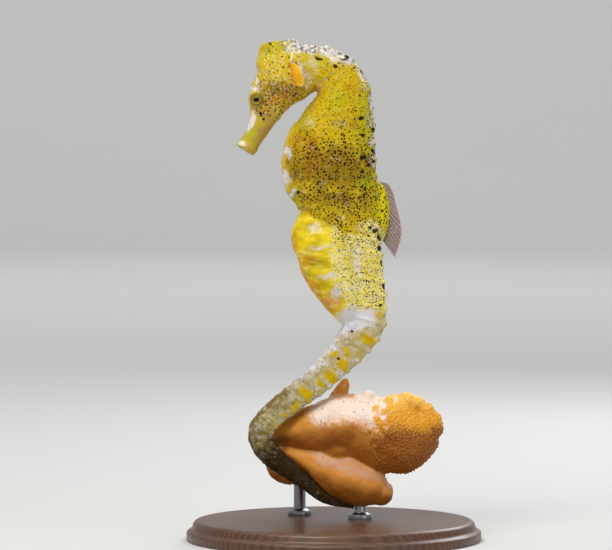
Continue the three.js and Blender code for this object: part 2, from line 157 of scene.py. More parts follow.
def grid_normals(grid: Array) -> Array:
    """Unit normals of a tube of points that is closed round its sides.

    Args:
        grid: (rows, sides, 3) places.

    Returns:
        (rows, sides, 3) directions.
    """
    along = np.gradient(grid, axis=0)
    around = np.roll(grid, -1, axis=1) - np.roll(grid, 1, axis=1)
    normal = np.cross(along, around)
    length = norm(normal, axis=-1, keepdims=True)
    return normal / np.maximum(length, 1e-9)


def tube_faces(rows: int, sides: int) -> Faces:
    """Quads round a tube, and a fan to one point more at each end.

    Args:
        rows: how many rings of points the tube has.
        sides: how many points a ring has.

    Returns:
        Lists of point numbers; the two end points come after the rings.
    """
    faces = []
    for row in range(rows - 1):
        for side in range(sides):
            after = (side + 1) % sides
            low, high = row * sides, (row + 1) * sides
            faces.append((low + side, low + after, high + after, high + side))
    first, last = rows * sides, rows * sides + 1
    end = (rows - 1) * sides
    for side in range(sides):
        after = (side + 1) % sides
        faces.append((first, after, side))
        faces.append((last, end + side, end + after))
    return faces


def make_mesh(name: str, points: Array, faces: Faces) -> Piece:
    """An object at the origin from points in mm, with its faces turned outwards and smooth.

    Args:
        name: the object's name.
        points: (n, 3) places in mm.
        faces: lists of point numbers.

    Returns:
        The new object.
    """
    mesh = bpy.data.meshes.new(name)
    mesh.from_pydata((points * MM).tolist(), [], faces)
    work = bmesh.new()
    work.from_mesh(mesh)
    bmesh.ops.recalc_face_normals(work, faces=work.faces)
    work.to_mesh(mesh)
    work.free()
    mesh.polygons.foreach_set("use_smooth", [True] * len(mesh.polygons))
    piece = bpy.data.objects.new(name, mesh)
    bpy.context.scene.collection.objects.link(piece)
    return piece


def read_points(piece: Piece, what: str = "co") -> Array:
    """The places or normals of a mesh's points, one to a row and in its own units.

    Args:
        piece: the object.
        what: "co" for places or "normal" for normals.

    Returns:
        (n, 3) values.
    """
    values = np.empty(len(piece.data.vertices) * 3)
    piece.data.vertices.foreach_get(what, values)
    return values.reshape(-1, 3)


def set_values(piece: Piece, name: str, values: Array) -> None:
    """Stores one number for each point of a mesh under a name that a material can read."""
    layer = piece.data.attributes.new(name, "FLOAT", "POINT")
    layer.data.foreach_set("value", np.asarray(values, np.float32).ravel())


def take_new(name: str) -> Piece:
    """Names the object that an operator has just added, and puts its place into its mesh.

    Args:
        name: the object's name.

    Returns:
        The object.
    """
    piece = bpy.context.active_object
    piece.name = piece.data.name = name
    bpy.ops.object.transform_apply(location=True, rotation=True, scale=True)
    return piece


def select_top(piece: Piece) -> None:
    """Selects only the faces that look straight up, in edit mode.

    Args:
        piece: the object in edit mode.
    """
    bpy.ops.mesh.select_all(action="DESELECT")
    work = bmesh.from_edit_mesh(piece.data)
    for face in work.faces:
        face.select = face.normal.z > 0.9
    bmesh.update_edit_mesh(piece.data)


def apply_modifiers(piece: Piece) -> None:
    """Applies all of a piece's modifiers in order.

    Args:
        piece: the object.
    """
    bpy.ops.object.select_all(action="DESELECT")
    bpy.context.view_layer.objects.active = piece
    piece.select_set(True)
    for modifier in list(piece.modifiers):
        bpy.ops.object.modifier_apply(modifier=modifier.name)


def round_edges(piece: Piece, width: float, segments: int, angle: float) -> None:
    """Bevels a turned piece's sharp edges and shades it.

    Args:
        piece: the object.
        width: width of the bevel in mm.
        segments: how many faces it has across.
        angle: the least sharp edge that is bevelled, in degrees.
    """
    bevel = piece.modifiers.new("edges", "BEVEL")
    bevel.width = width * MM
    bevel.segments = segments
    bevel.limit_method = "ANGLE"
    bevel.angle_limit = math.radians(angle)
    apply_modifiers(piece)
    bpy.ops.object.shade_smooth_by_angle(angle=math.radians(SMOOTH_ANGLE))


def even_out(piece: Piece, voxel: float, factor: float, times: int) -> None:
    """Joins and evens a mesh with a voxel remesh and smooths it.

    Args:
        piece: the object.
        voxel: size of the remesh in mm.
        factor: strength of the smoothing.
        times: how often it is repeated.
    """
    remesh = piece.modifiers.new("one", "REMESH")
    remesh.mode = "VOXEL"
    remesh.voxel_size = voxel * MM
    remesh.use_smooth_shade = True
    smooth = piece.modifiers.new("soft", "SMOOTH")
    smooth.factor = factor
    smooth.iterations = times
    apply_modifiers(piece)


def mount(piece: Piece, slot: Slot, *nodes: str) -> None:
    """Makes a piece ride with the model and stand for CAD nodes.

    Args:
        piece: the finished object.
        slot: not used.
        nodes: the CAD nodes that it replaces.
    """
    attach(piece, BODY)
    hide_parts(*nodes)
    LOG.info("%s: %d faces, for %s", piece.name, len(piece.data.polygons), ", ".join(nodes))


# ---- Shader graphs ----


class Value:
    """A number socket of a shader graph; arithmetic on it adds Math nodes."""

    def __init__(self, graph: "Graph", socket: bpy.types.NodeSocket) -> None:
        """Wraps an output socket of a graph."""
        self.graph = graph
        self.socket = socket

    def __add__(self, other: "Value | float") -> "Value":
        """Sum."""
        return self.graph.math("ADD", self, other)

    __radd__ = __add__

    def __mul__(self, other: "Value | float") -> "Value":
        """Product."""
        return self.graph.math("MULTIPLY", self, other)

    __rmul__ = __mul__

    def __sub__(self, other: "Value | float") -> "Value":
        """Difference."""
        return self.graph.math("SUBTRACT", self, other)

    def __rsub__(self, other: float) -> "Value":
        """Difference from a number."""
        return self.graph.math("SUBTRACT", other, self)

    def least(self, other: "Value | float") -> "Value":
        """The lower of two values."""
        return self.graph.math("MINIMUM", self, other)

    def most(self, other: "Value | float") -> "Value":
        """The higher of two values."""
        return self.graph.math("MAXIMUM", self, other)

    def clip(self) -> "Value":
        """The value kept between 0 and 1."""
        return self.graph.node("Clamp", Value=self)

    def step(self, low: float, high: float) -> "Value":
        """0 below low, 1 above high, and smooth between.

        Args:
            low: where it starts; it may be above high to turn the step round.
            high: where it ends.

        Returns:
            The step.
        """
        inputs = {"Value": self, "From Min": low, "From Max": high}
        if low > high:
            inputs = {"Value": self, "From Min": high, "From Max": low, "To Min": 1.0, "To Max": 0.0}
        return self.graph.node("MapRange", {"interpolation_type": "SMOOTHSTEP"}, **inputs)


class Graph:
    """The node graph of one material."""

    def __init__(self, name: str) -> None:
        """Starts an empty material.

        Args:
            name: the material's name.
        """
        self.material = bpy.data.materials.new(name)
        self.material.use_nodes = True
        self.nodes = self.material.node_tree.nodes
        self.links = self.material.node_tree.links
        self.nodes.clear()

    def add(self, kind: str, settings: dict, inputs: dict) -> bpy.types.Node:
        """Adds a node, sets its settings first and then its sockets.

        Args:
            kind: the node's type, without ShaderNode before it.
            settings: its properties.
            inputs: what goes into its sockets, by number or name, with an underscore for a space.

        Returns:
            The node.
        """
        node = self.nodes.new("ShaderNode" + kind)
        for key, setting in settings.items():
            setattr(node, key, setting)
        for key, given in inputs.items():
            socket = node.inputs[key.replace("_", " ") if isinstance(key, str) else key]
            if isinstance(given, Value):
                self.links.new(given.socket, socket)
            else:
                socket.default_value = given
        return node

    def node(self, kind: str, settings: dict | None = None, output: str | int = 0, **inputs: object) -> Value:
        """Adds a node and gives one of its outputs."""
        return Value(self, self.add(kind, settings or {}, inputs).outputs[output])

    def math(self, operation: str, *values: Value | float) -> Value:
        """A Math node on two values."""
        made = self.add("Math", {"operation": operation}, dict(enumerate(values)))
        return Value(self, made.outputs[0])

    def value(self, name: str) -> Value:
        """A number stored on the mesh under a name."""
        return self.node("Attribute", {"attribute_name": name}, "Fac")

    def place(self) -> Value:
        """Object coordinates, in metres."""
        return self.node("TexCoord", output="Object")

    def axis(self, place: Value, name: str) -> Value:
        """One coordinate of a place, in mm."""
        return self.node("SeparateXYZ", output=name, Vector=place) * (1 / MM)

    def mapped(self, place: Value, scale: Place, turn: float = 0.0) -> Value:
        """Coordinates turned about Y by some degrees and scaled, for noise that runs in streaks."""
        return self.node("Mapping", Vector=place, Rotation=(0, math.radians(turn), 0), Scale=scale)

    def mix(self, base: Value | Colour, over: Value | Colour, factor: Value | float) -> Value:
        """One colour laid over another.

        Args:
            base: the colour where factor is 0.
            over: the colour where factor is 1.
            factor: how much of over shows.

        Returns:
            The mixed colour.
        """
        inputs = {0: factor, 6: self._colour(base), 7: self._colour(over)}
        made = self.add("Mix", {"data_type": "RGBA"}, inputs)
        return Value(self, made.outputs[2])

    @staticmethod
    def _colour(given: Value | Colour) -> Value | tuple[float, ...]:
        """A colour with its alpha."""
        return given if isinstance(given, Value) else (*given, 1.0)

    def noise(self, place: Value, size: float, detail: float = 3.0, roughness: float = 0.5) -> Value:
        """Cloudy noise between 0 and 1 whose clouds are about size mm across."""
        inputs = {"Vector": place, "Scale": 1 / (size * MM), "Detail": detail, "Roughness": roughness}
        return self.node("TexNoise", output="Fac", **inputs)

    def dots(self, place: Value, spacing: float, radius: Value | float, blur: float) -> Value:
        """1 on dots scattered through space and 0 between them.

        Args:
            place: coordinates in metres.
            spacing: distance between dots in mm.
            radius: radius of a dot in mm; no dot shows where it is 0.
            blur: width of its soft edge in mm.

        Returns:
            The cover.
        """
        inputs = {"Vector": place, "Scale": 1 / (spacing * MM), "Randomness": 0.85}
        near = self.node("TexVoronoi", output="Distance", **inputs)
        return (radius - near * spacing).step(-blur * 0.4, blur)

    def bump(self, height: Value, depth: float) -> Value:
        """A normal from a height between 0 and 1 that stands depth mm high."""
        return self.node("Bump", output="Normal", Height=height, Strength=1.0, Distance=depth * MM)

    def surface(self, **inputs: object) -> Material:
        """Ends the graph in a Principled shader.

        Args:
            inputs: what goes into the shader's sockets.

        Returns:
            The finished material.
        """
        shader = self.add("BsdfPrincipled", {}, inputs)
        out = self.add("OutputMaterial", {}, {})
        self.links.new(shader.outputs[0], out.inputs[0])
        return self.material


def srgb(red: int, green: int, blue: int) -> Colour:
    """A display colour of 0 to 255 as linear light."""
    values = [channel / 255 for channel in (red, green, blue)]
    return tuple(v / 12.92 if v <= 0.04045 else ((v + 0.055) / 1.055) ** 2.4 for v in values)


# ---- The body's sections ----


@dataclass(frozen=True)
class Section:
    """One cross-section of the body: its back and belly edge in the middle plane, its width and its sway."""

    back: Pair
    belly: Pair
    width: float
    sway: float = 0.0


def sections(*rows: tuple[float, ...]) -> tuple[Section, ...]:
    """Sections from rows of their back edge's X and Z, their belly edge's and their width."""
    return tuple(Section(row[:2], row[2:4], row[4]) for row in rows)


@dataclass(frozen=True)
class TailSection:
    """One section of the tail: its middle in the middle plane, its depth and its sway to the side."""

    at: Pair
    depth: float
    sway: float = 0.0


@dataclass
class Frames:
    """Section frames at many distances: middles, directions to the back, half depths and half widths."""

    middle: Array
    dorsal: Array
    half_depth: Array
    half_width: Array


class Spine:
    """A run of sections, found by the distance along its middle line."""

    def __init__(self, sections: list[Section], samples: int = 400) -> None:
        """Measures the middle line of the sections.

        Args:
            sections: the sections in order.
            samples: how many steps measure the line.
        """
        self.knots = np.array([(*s.back, *s.belly, s.width, s.sway) for s in sections])
        self.shares = np.linspace(0, 1, samples + 1)
        middle = self._frames(self.shares).middle
        steps = norm(np.diff(middle, axis=0), axis=1)
        self.reach = np.concatenate([[0], np.cumsum(steps)])

    @property
    def length(self) -> float:
        """Length of the middle line."""
        return float(self.reach[-1])

    def _frames(self, shares: Array) -> Frames:
        """The frames at some shares of the run.

        Args:
            shares: 0 at the first section and 1 at the last.

        Returns:
            One frame for each share.
        """
        back_x, back_z, belly_x, belly_z, width, sway = catmull_rom(self.knots, shares).T
        back = np.stack([back_x, sway, back_z], axis=1)
        belly = np.stack([belly_x, sway, belly_z], axis=1)
        half = (back - belly) / 2
        depth = norm(half, axis=1)
        return Frames((back + belly) / 2, half / depth[:, None], depth, width / 2)

    def at(self, distances: Array) -> Frames:
        """The frames at distances from the mouth."""
        return self._frames(np.interp(distances, self.reach, self.shares))

    def distance_of(self, place: float) -> float:
        """The distance from the mouth to a place counted in sections."""
        return float(np.interp(place / (len(self.knots) - 1), self.shares, self.reach))


@dataclass
class BodyPlan:
    """The animal's outline from the mouth to the tail's tip, and its rings."""

    outline: tuple[Section, ...] = sections(
        (-24.2, 98.9, -19.9, 97.0, 4.4), (-22.1, 102.5, -17.3, 100.8, 4.1),
        (-21.0, 106.3, -14.2, 104.9, 5.2), (-21.1, 110.4, -11.0, 108.5, 7.0),
        (-20.4, 114.7, -7.4, 110.6, 9.2), (-19.7, 119.6, -5.5, 112.0, 10.2),
        (-16.3, 123.2, -4.8, 112.4, 9.8), (-8.9, 124.3, -4.3, 112.4, 9.4), (-1.2, 123.4, -4.1, 111.8, 9.8),
        (4.8, 120.0, -4.8, 110.7, 11.0), (9.0, 113.0, -7.0, 108.0, 13.2), (10.2, 101.5, -11.2, 100.5, 15.4),
        (10.6, 91.0, -12.1, 91.0, 15.6), (11.4, 80.5, -8.0, 81.8, 13.6), (12.2, 68.2, 0.0, 70.3, 11.2),
        (13.0, 57.0, 2.7, 58.6, 9.8),
    )
    tail: tuple[TailSection, ...] = (
        TailSection((6.6, 52.0), 9.2, 0.0),
        TailSection((-2.0, 42.0), 7.0, -0.4),
        TailSection((-14.2, 32.4), 6.1, -0.6),
        TailSection((-18.4, 27.2), 6.1, -0.5),
        TailSection((-16.8, 22.3), 5.5, -0.3),
        TailSection((-7.8, 14.9), 3.6, 0.0),
        TailSection((-2.0, 10.3), 2.5, 0.4),
        TailSection((5.0, 8.0), 0.7, 1.0),
    )
    vent_place: float = 13.15  # where the trunk ends, counted in sections from the mouth
    tail_width: float = 0.95  # share of the tail's depth
    neck_start: float = 27.0  # distance from the mouth to the first trunk ring
    trunk_rings: int = 11
    tail_rings: int = 35
    first_tail_ring: float = 3.7

    @cached_property
    def spine(self) -> Spine:
        """The whole run of sections."""
        return Spine([*self.outline, *self._tail_sections()])

    @cached_property
    def trunk_end(self) -> float:
        """Distance from the mouth to the end of the trunk."""
        return self.spine.distance_of(self.vent_place)

    @cached_property
    def edges(self) -> Array:
        """Distances from the mouth to every ring edge, from the neck to the tip of the tail.

        Returns:
            One distance more than there are rings.
        """
        trunk = np.linspace(self.neck_start, self.trunk_end, self.trunk_rings + 1)
        count = self.tail_rings
        tail_length = self.spine.length - self.trunk_end
        shrink = 2 * (self.first_tail_ring * count - tail_length) / (count * (count - 1))
        lengths = self.first_tail_ring - shrink * np.arange(count)
        return np.concatenate([trunk, self.trunk_end + np.cumsum(lengths)])

    def _tail_sections(self) -> list[Section]:
        """The tail's sections, each square to the tail's middle line.

        Returns:
            The sections in order.
        """
        root = self.outline[-1]
        places = [np.add(root.back, root.belly) / 2] + [np.array(section.at) for section in self.tail]
        made = []
        for i, section in enumerate(self.tail):
            run = places[min(i + 2, len(places) - 1)] - places[i]
            run = run / norm(run)
            half = np.array([-run[1], run[0]]) * section.depth / 2
            here = np.array(section.at)
            width = section.depth * self.tail_width
            made.append(Section(tuple(here + half), tuple(here - half), width, section.sway))
        return made


# ---- Eyes ----


@dataclass(frozen=True)
class Eye:
    """An eye set in its socket; its place and gaze are the left one's, and the right one mirrors them."""

    side: Side
    middle: Place = (-19.1, -2.55, 110.4)
    gaze: Place = (-0.2, -0.975, -0.095)
    radius: float = 1.5
    cornea: float = 0.12
    cornea_steps: Pair = (0.62, 0.8)  # shares of the radius from which the cornea rises
    oval: Pair = (1.12, 0.84)  # length and height of the pupil
    behind: float = 9.0  # added to distances on the back of the ball, where no iris shows

    def build(self) -> Piece:
        """A ball with a low cornea in front, turned to look sideways.

        Returns:
            The eyeball.
        """
        bpy.ops.object.select_all(action="DESELECT")
        bpy.ops.mesh.primitive_uv_sphere_add(segments=64, ring_count=40, radius=self.radius * MM)
        ball = take_new(f"eyeball_{self.side.word}")
        bpy.ops.object.mode_set(mode="EDIT")
        for share in self.cornea_steps:
            self._select_cap(ball, share)
            bpy.ops.transform.translate(value=(0, 0, self.cornea / 2 * MM))
        bpy.ops.object.mode_set(mode="OBJECT")
        x, y, z = (read_points(ball) / MM).T
        hidden = self.behind * (z < 0)
        set_values(ball, "off_axis", np.hypot(x, y) + hidden)
        set_values(ball, "oval", np.hypot(x / self.oval[0], y / self.oval[1]) + hidden)
        set_values(ball, "above", y)
        mirror = (1, self.side.value, 1)
        turned = Vector(np.multiply(self.gaze, mirror)).to_track_quat("Z", "Y").to_matrix().to_4x4()
        turned.translation = Vector(np.multiply(self.middle, mirror)) * MM
        ball.data.transform(turned)
        ball.data.shade_smooth()
        return ball

    @staticmethod
    def _select_cap(ball: Piece, share: float) -> None:
        """Selects only the points ahead of a share of the radius.

        Args:
            ball: the eyeball in edit mode, looking up.
            share: 0 at its middle and 1 at its front.
        """
        bpy.ops.mesh.select_all(action="DESELECT")
        work = bmesh.from_edit_mesh(ball.data)
        top = max(point.co.z for point in work.verts)
        for point in work.verts:
            point.select = point.co.z > top * share
        work.select_flush(True)
        bmesh.update_edit_mesh(ball.data)

    def dress(self, piece: Piece) -> None:
        """Gives the eye its finish."""
        piece.data.materials.append(EyeFinish().make())


@dataclass(frozen=True)
class EyeFinish:
    """An oval black pupil in a thin gold ring, an olive-yellow iris darker at its edge, and a wet gloss."""

    pupil: Colour = srgb(4, 4, 8)
    ring: Colour = srgb(214, 190, 40)
    iris: Colour = srgb(104, 92, 28)
    rim: Colour = srgb(142, 124, 46)
    edge: Colour = srgb(30, 26, 10)

    def make(self) -> Material:
        """The eye's material.

        Returns:
            The finished material.
        """
        g = Graph("eye")
        out, oval = g.value("off_axis"), g.value("oval")
        fleck = g.noise(g.place(), 0.25, 3, 0.6)
        iris = g.mix(self.iris, self.ring, (fleck * 1.8 - 0.5 - g.value("above") * 0.55).clip())
        iris = g.mix(iris, self.rim, (out + (fleck - 0.5) * 0.3).step(0.9, 1.2))
        colour = g.mix(self.edge, iris, (oval + (fleck - 0.5) * 0.15).step(0.64, 0.8))
        colour = g.mix(self.pupil, colour, (oval + (fleck - 0.5) * 0.05).step(0.6, 0.65))
        gloss, normal = 0.1 + fleck * 0.06, g.bump(fleck, 0.01)
        return g.surface(Base_Color=colour, Roughness=gloss, Specular_IOR_Level=0.35, Normal=normal)


# ---- The skin ----


@dataclass(frozen=True)
class Bulge:
    """A rounded swelling: its middle, half sizes, tilt about Y, blend width and the rows it reaches."""

    at: Place
    size: Place
    tilt: float
    blend: float
    rows: Pair

    def reach(self, start: Array, direction: Array) -> Array:
        """How far rays run before they leave the bulge.

        Args:
            start: (..., 3) where the rays start.
            direction: (..., 3) their unit directions.

        Returns:
            Distances, or MISS where a ray meets nothing.
        """
        cos, sin = math.cos(math.radians(self.tilt)), math.sin(math.radians(self.tilt))
        turned = np.array([[cos, 0, -sin], [0, 1, 0], [sin, 0, cos]])
        inward = turned / np.array(self.size)[:, None]
        q = (start - np.array(self.at)) @ inward.T
        w = direction @ inward.T
        a = np.sum(w * w, axis=-1)
        b = np.sum(q * w, axis=-1)
        c = np.sum(q * q, axis=-1) - 1
        inside = b * b - a * c
        return np.where(inside > 0, (-b + np.sqrt(np.maximum(inside, 0))) / a, MISS)


@dataclass(frozen=True)
class Knob:
    """A rounded knob on each side of the head, or a pit where its height is negative."""

    at: Place
    width: float
    height: float

    def rise(self, mirrored: Array) -> Array:
        """How far it raises points that have been brought to the left side."""
        return self.height * bell(norm(mirrored - np.array(self.at), axis=-1), self.width)


@dataclass(frozen=True)
class Mark:
    """A spot or patch of the skin: its middle and radii in the side view, its tilt and strength."""

    x: float
    z: float
    rx: float
    rz: float
    tilt: float = 0.0
    strength: float = 1.0

    def reach(self, points: Array) -> Array:
        """Distance of points from the mark's middle, counted so that it is 1 at the mark's edge.

        Args:
            points: (..., 3) places in mm.

        Returns:
            (...) distances.
        """
        turn = math.radians(self.tilt)
        dx, dz = points[..., 0] - self.x, points[..., 2] - self.z
        across = (dx * math.cos(turn) + dz * math.sin(turn)) / self.rx
        up = (dz * math.cos(turn) - dx * math.sin(turn)) / self.rz
        return np.sqrt(across**2 + up**2)


Marks = tuple[Mark, ...]


def mark_set(*rows: tuple[float, ...]) -> Marks:
    """Marks from rows of their numbers."""
    return tuple(Mark(*row) for row in rows)


def spread(points: Array, marks: Marks) -> Array:
    """Soft cover of a set of marks, full in their middles and fading outwards.

    Args:
        points: (..., 3) places in mm.
        marks: the marks.

    Returns:
        (...) values.
    """
    cover = np.zeros(points.shape[:-1])
    for mark in marks:
        cover = np.maximum(cover, mark.strength * np.exp(-mark.reach(points) ** 2))
    return cover


def edge_distance(points: Array, marks: Marks) -> Array:
    """Distance in mm to the nearest edge of a set of marks, negative inside one.

    Args:
        points: (..., 3) places in mm.
        marks: the marks.

    Returns:
        (...) distances, 9 mm at most.
    """
    nearest = np.full(points.shape[:-1], 9.0)
    for mark in marks:
        nearest = np.minimum(nearest, (mark.reach(points) - 1) * min(mark.rx, mark.rz))
    return nearest


def blend_out(radius: Array, other: Array, width: float) -> Array:
    """The larger of two radii, rounded over where they meet."""
    gap = np.clip((other - radius) / width, -30, 30)
    return radius + width * np.log1p(np.exp(gap))


@dataclass(frozen=True)
class Markings:
    """Where the skin's patches and spots lie."""

    black: Marks = mark_set(
        (-3.75, 120.5, 1.05, 0.5, -12), (0.3, 118.7, 0.7, 0.5, -20), (-0.9, 123.2, 0.9, 0.35, -15),
        (3.1, 120.9, 0.6, 0.5, -30), (6.9, 117.4, 0.5, 0.7, 20), (6.3, 111.4, 0.35, 0.35),
        (9.2, 111.8, 0.4, 0.6), (6.7, 105.6, 0.85, 0.45), (9.9, 103, 0.7, 0.5), (7, 101.3, 0.7, 0.5),
        (9.8, 97.6, 0.5, 0.6), (7.4, 96.1, 0.9, 0.6), (8.5, 94.3, 0.5, 0.45), (7, 92.4, 0.6, 0.45),
        (9.7, 94.9, 0.5, 0.5), (2.6, 101.5, 0.3, 0.35), (2.7, 99.8, 0.35, 0.4), (2.6, 97, 0.42, 0.42),
        (2.6, 94.6, 0.42, 0.45), (4.2, 94.5, 0.36, 0.36), (-1.4, 97.7, 0.4, 0.33), (0.1, 97.3, 0.4, 0.33),
        (-6.5, 95.8, 0.36, 0.33), (1, 92.4, 0.34, 0.34), (-9, 87.2, 0.5, 0.45), (7.7, 88.1, 0.4, 0.35),
        (10.3, 77.4, 0.8, 0.55, 20), (11, 75.9, 0.6, 0.8), (9, 78.4, 0.55, 0.35), (8.6, 76.4, 0.4, 0.35),
        (11.3, 73.4, 0.5, 1), (11.8, 69.6, 0.4, 0.8), (12.3, 64, 0.35, 0.8), (4.4, 52.6, 0.4, 0.35),
        (1.2, 45.6, 0.45, 0.4), (11.4, 59.2, 0.4, 0.5), (-12.9, 125.3, 0.8, 0.35), (-15.9, 124.4, 0.4, 0.3),
        (-8.6, 124.9, 0.7, 0.25), (-18.3, 106.9, 0.35, 0.65, 25), (-17.6, 105.6, 0.35, 0.35),
        (-15.2, 111.6, 0.45, 0.25, 40),
    )
    pale: Marks = mark_set(
        (-0.6, 121, 2.2, 1.1, -30), (-6, 124.2, 4.2, 1.3, -4, 1.1), (2.4, 120.6, 2.6, 1.1, -38),
        (7, 115.8, 0.8, 2.6, 28), (9.6, 108.5, 0.6, 2, 8), (-6.1, 104.7, 2.2, 1.5, 20, 0.45),
        (-11.6, 97.4, 0.8, 1.6), (-11.8, 91.4, 0.9, 2), (-10.4, 86.9, 0.9, 1.4, -25),
        (-20.5, 105.4, 0.8, 3.2, -18, 1.1), (-22.9, 99.2, 1, 1.1), (-20.2, 113.2, 1.6, 0.9),
        (-18.9, 115.2, 0.7, 1.3), (-10.8, 121.8, 0.45, 2.7, 10), (-8, 117.4, 0.45, 4, 10),
        (-6.4, 115, 1.2, 3, 10, 0.5), (5.6, 55.6, 4.4, 2.4, 0, 1.7), (-4.6, 78.2, 2.4, 1.6, 20, 0.6),
        (-2.6, 73.4, 3.2, 0.7, 8, 0.6), (-1.6, 66.5, 2.6, 1.2, 15, 0.75), (0.4, 62, 1.4, 3, -15, 0.65),
        (6, 70.4, 1.5, 4.2, 5, 0.7), (9.9, 99.8, 0.6, 0.9, 0, 0.6), (-14.6, 116, 2.4, 2.6, 0, 0.35),
        (-5.2, 118.4, 2.6, 3.4, 0, 0.42), (-3.4, 114, 1.6, 1.6, 0, 0.3),
    )
    warm: Marks = mark_set(
        (-7.3, 100, 3.4, 2.6, 0, 0.8), (-5.6, 95.5, 3.6, 4, 0, 0.55), (-10, 108.6, 3.2, 3, 0, 0.7),
        (-9.5, 116.8, 1.7, 3.4, -12, 1.3), (-14, 110.6, 4, 2.2, 0, 0.9), (-16.8, 107.6, 2.2, 3, 0, 0.7),
        (-1.4, 58.3, 2.2, 4.4, -30, 1), (-6.8, 65, 1.6, 6.5, 32, 0.9), (5.2, 104.8, 2.4, 2.4, 0, 0.45),
        (4, 113.8, 2.2, 2.2, 0, 0.5), (0.5, 90.6, 4, 2, 0, 0.3), (-17.6, 101.4, 1.2, 4, -25, 0.6),
        (-9.6, 72, 0.9, 6, 5, 0.7), (-7.4, 70.6, 3, 1.8, 15, 0.75), (-3.6, 112.6, 1.6, 2, 0, 0.6),
    )
    # Darker patches: partly a dusky tone of the skin, and partly painted shade on the back edge by the hump,
    # under the cheek and round the eye.
    dusk: Marks = mark_set(
        (-1, 93.8, 11, 4.4, 0, 1.5), (1, 86.6, 11, 4, 0, 0.7), (-13.2, 112.8, 5.8, 2, -8, 1.3),
        (-17.2, 110.8, 0.9, 1.6, 10, 1.3), (-18.6, 108.2, 1.3, 1, 0, 1), (4.6, 85, 3, 3, 0, 0.5),
        (-4.6, 100, 4, 2.4, 0, 0.6), (8.6, 97, 1.6, 6, 0, 0.5), (-2, 80.6, 9, 1.6, 0, 0.4),
        (10.4, 76.6, 1.8, 2.6, 0, 1.3), (-19.4, 109, 1.4, 1.4, 0, 0.5), (-4.6, 69.4, 3.4, 1.7, 18, 1.1),
    )
    gold: Marks = mark_set(
        (8.5, 50.7, 1.9, 1.4, -35), (3, 47.9, 0.9, 0.9), (2.6, 44.4, 1.4, 1.9, 20), (-0.9, 41.2, 1.2, 2, 20),
        (-7.1, 36.6, 1, 1.6, 30), (-9.9, 33.2, 1, 0.8), (-14.5, 29.2, 1.1, 1.2, 0, 0.8),
        (0.2, 46.8, 0.7, 0.7), (-3.6, 39.6, 0.7, 1), (-12, 31.6, 0.8, 0.8, 0, 0.8), (6.4, 47.2, 0.8, 0.8),
        (10.8, 56.4, 0.8, 1.6),
    )
    lime: Marks = mark_set(
        (-14, 123.4, 5, 2.4, 8, 0.6), (12.4, 83, 3, 7, 0, 1), (7.6, 104, 2.2, 9, 0, 0.6),
        (-8.2, 104, 2.5, 4, 25, 0.5), (2, 110.5, 2.6, 3, 0, 0.5), (8.6, 90, 4, 3.5, 0, 0.8),
        (-20.6, 101.2, 1.3, 2.2, -20, 0.9), (11.5, 62.4, 1.6, 4.2, 0, 0.9), (-5.4, 119.6, 3, 2, 0, 0.5),
        (-9.4, 84.6, 1.6, 3, 0, 0.8),
    )


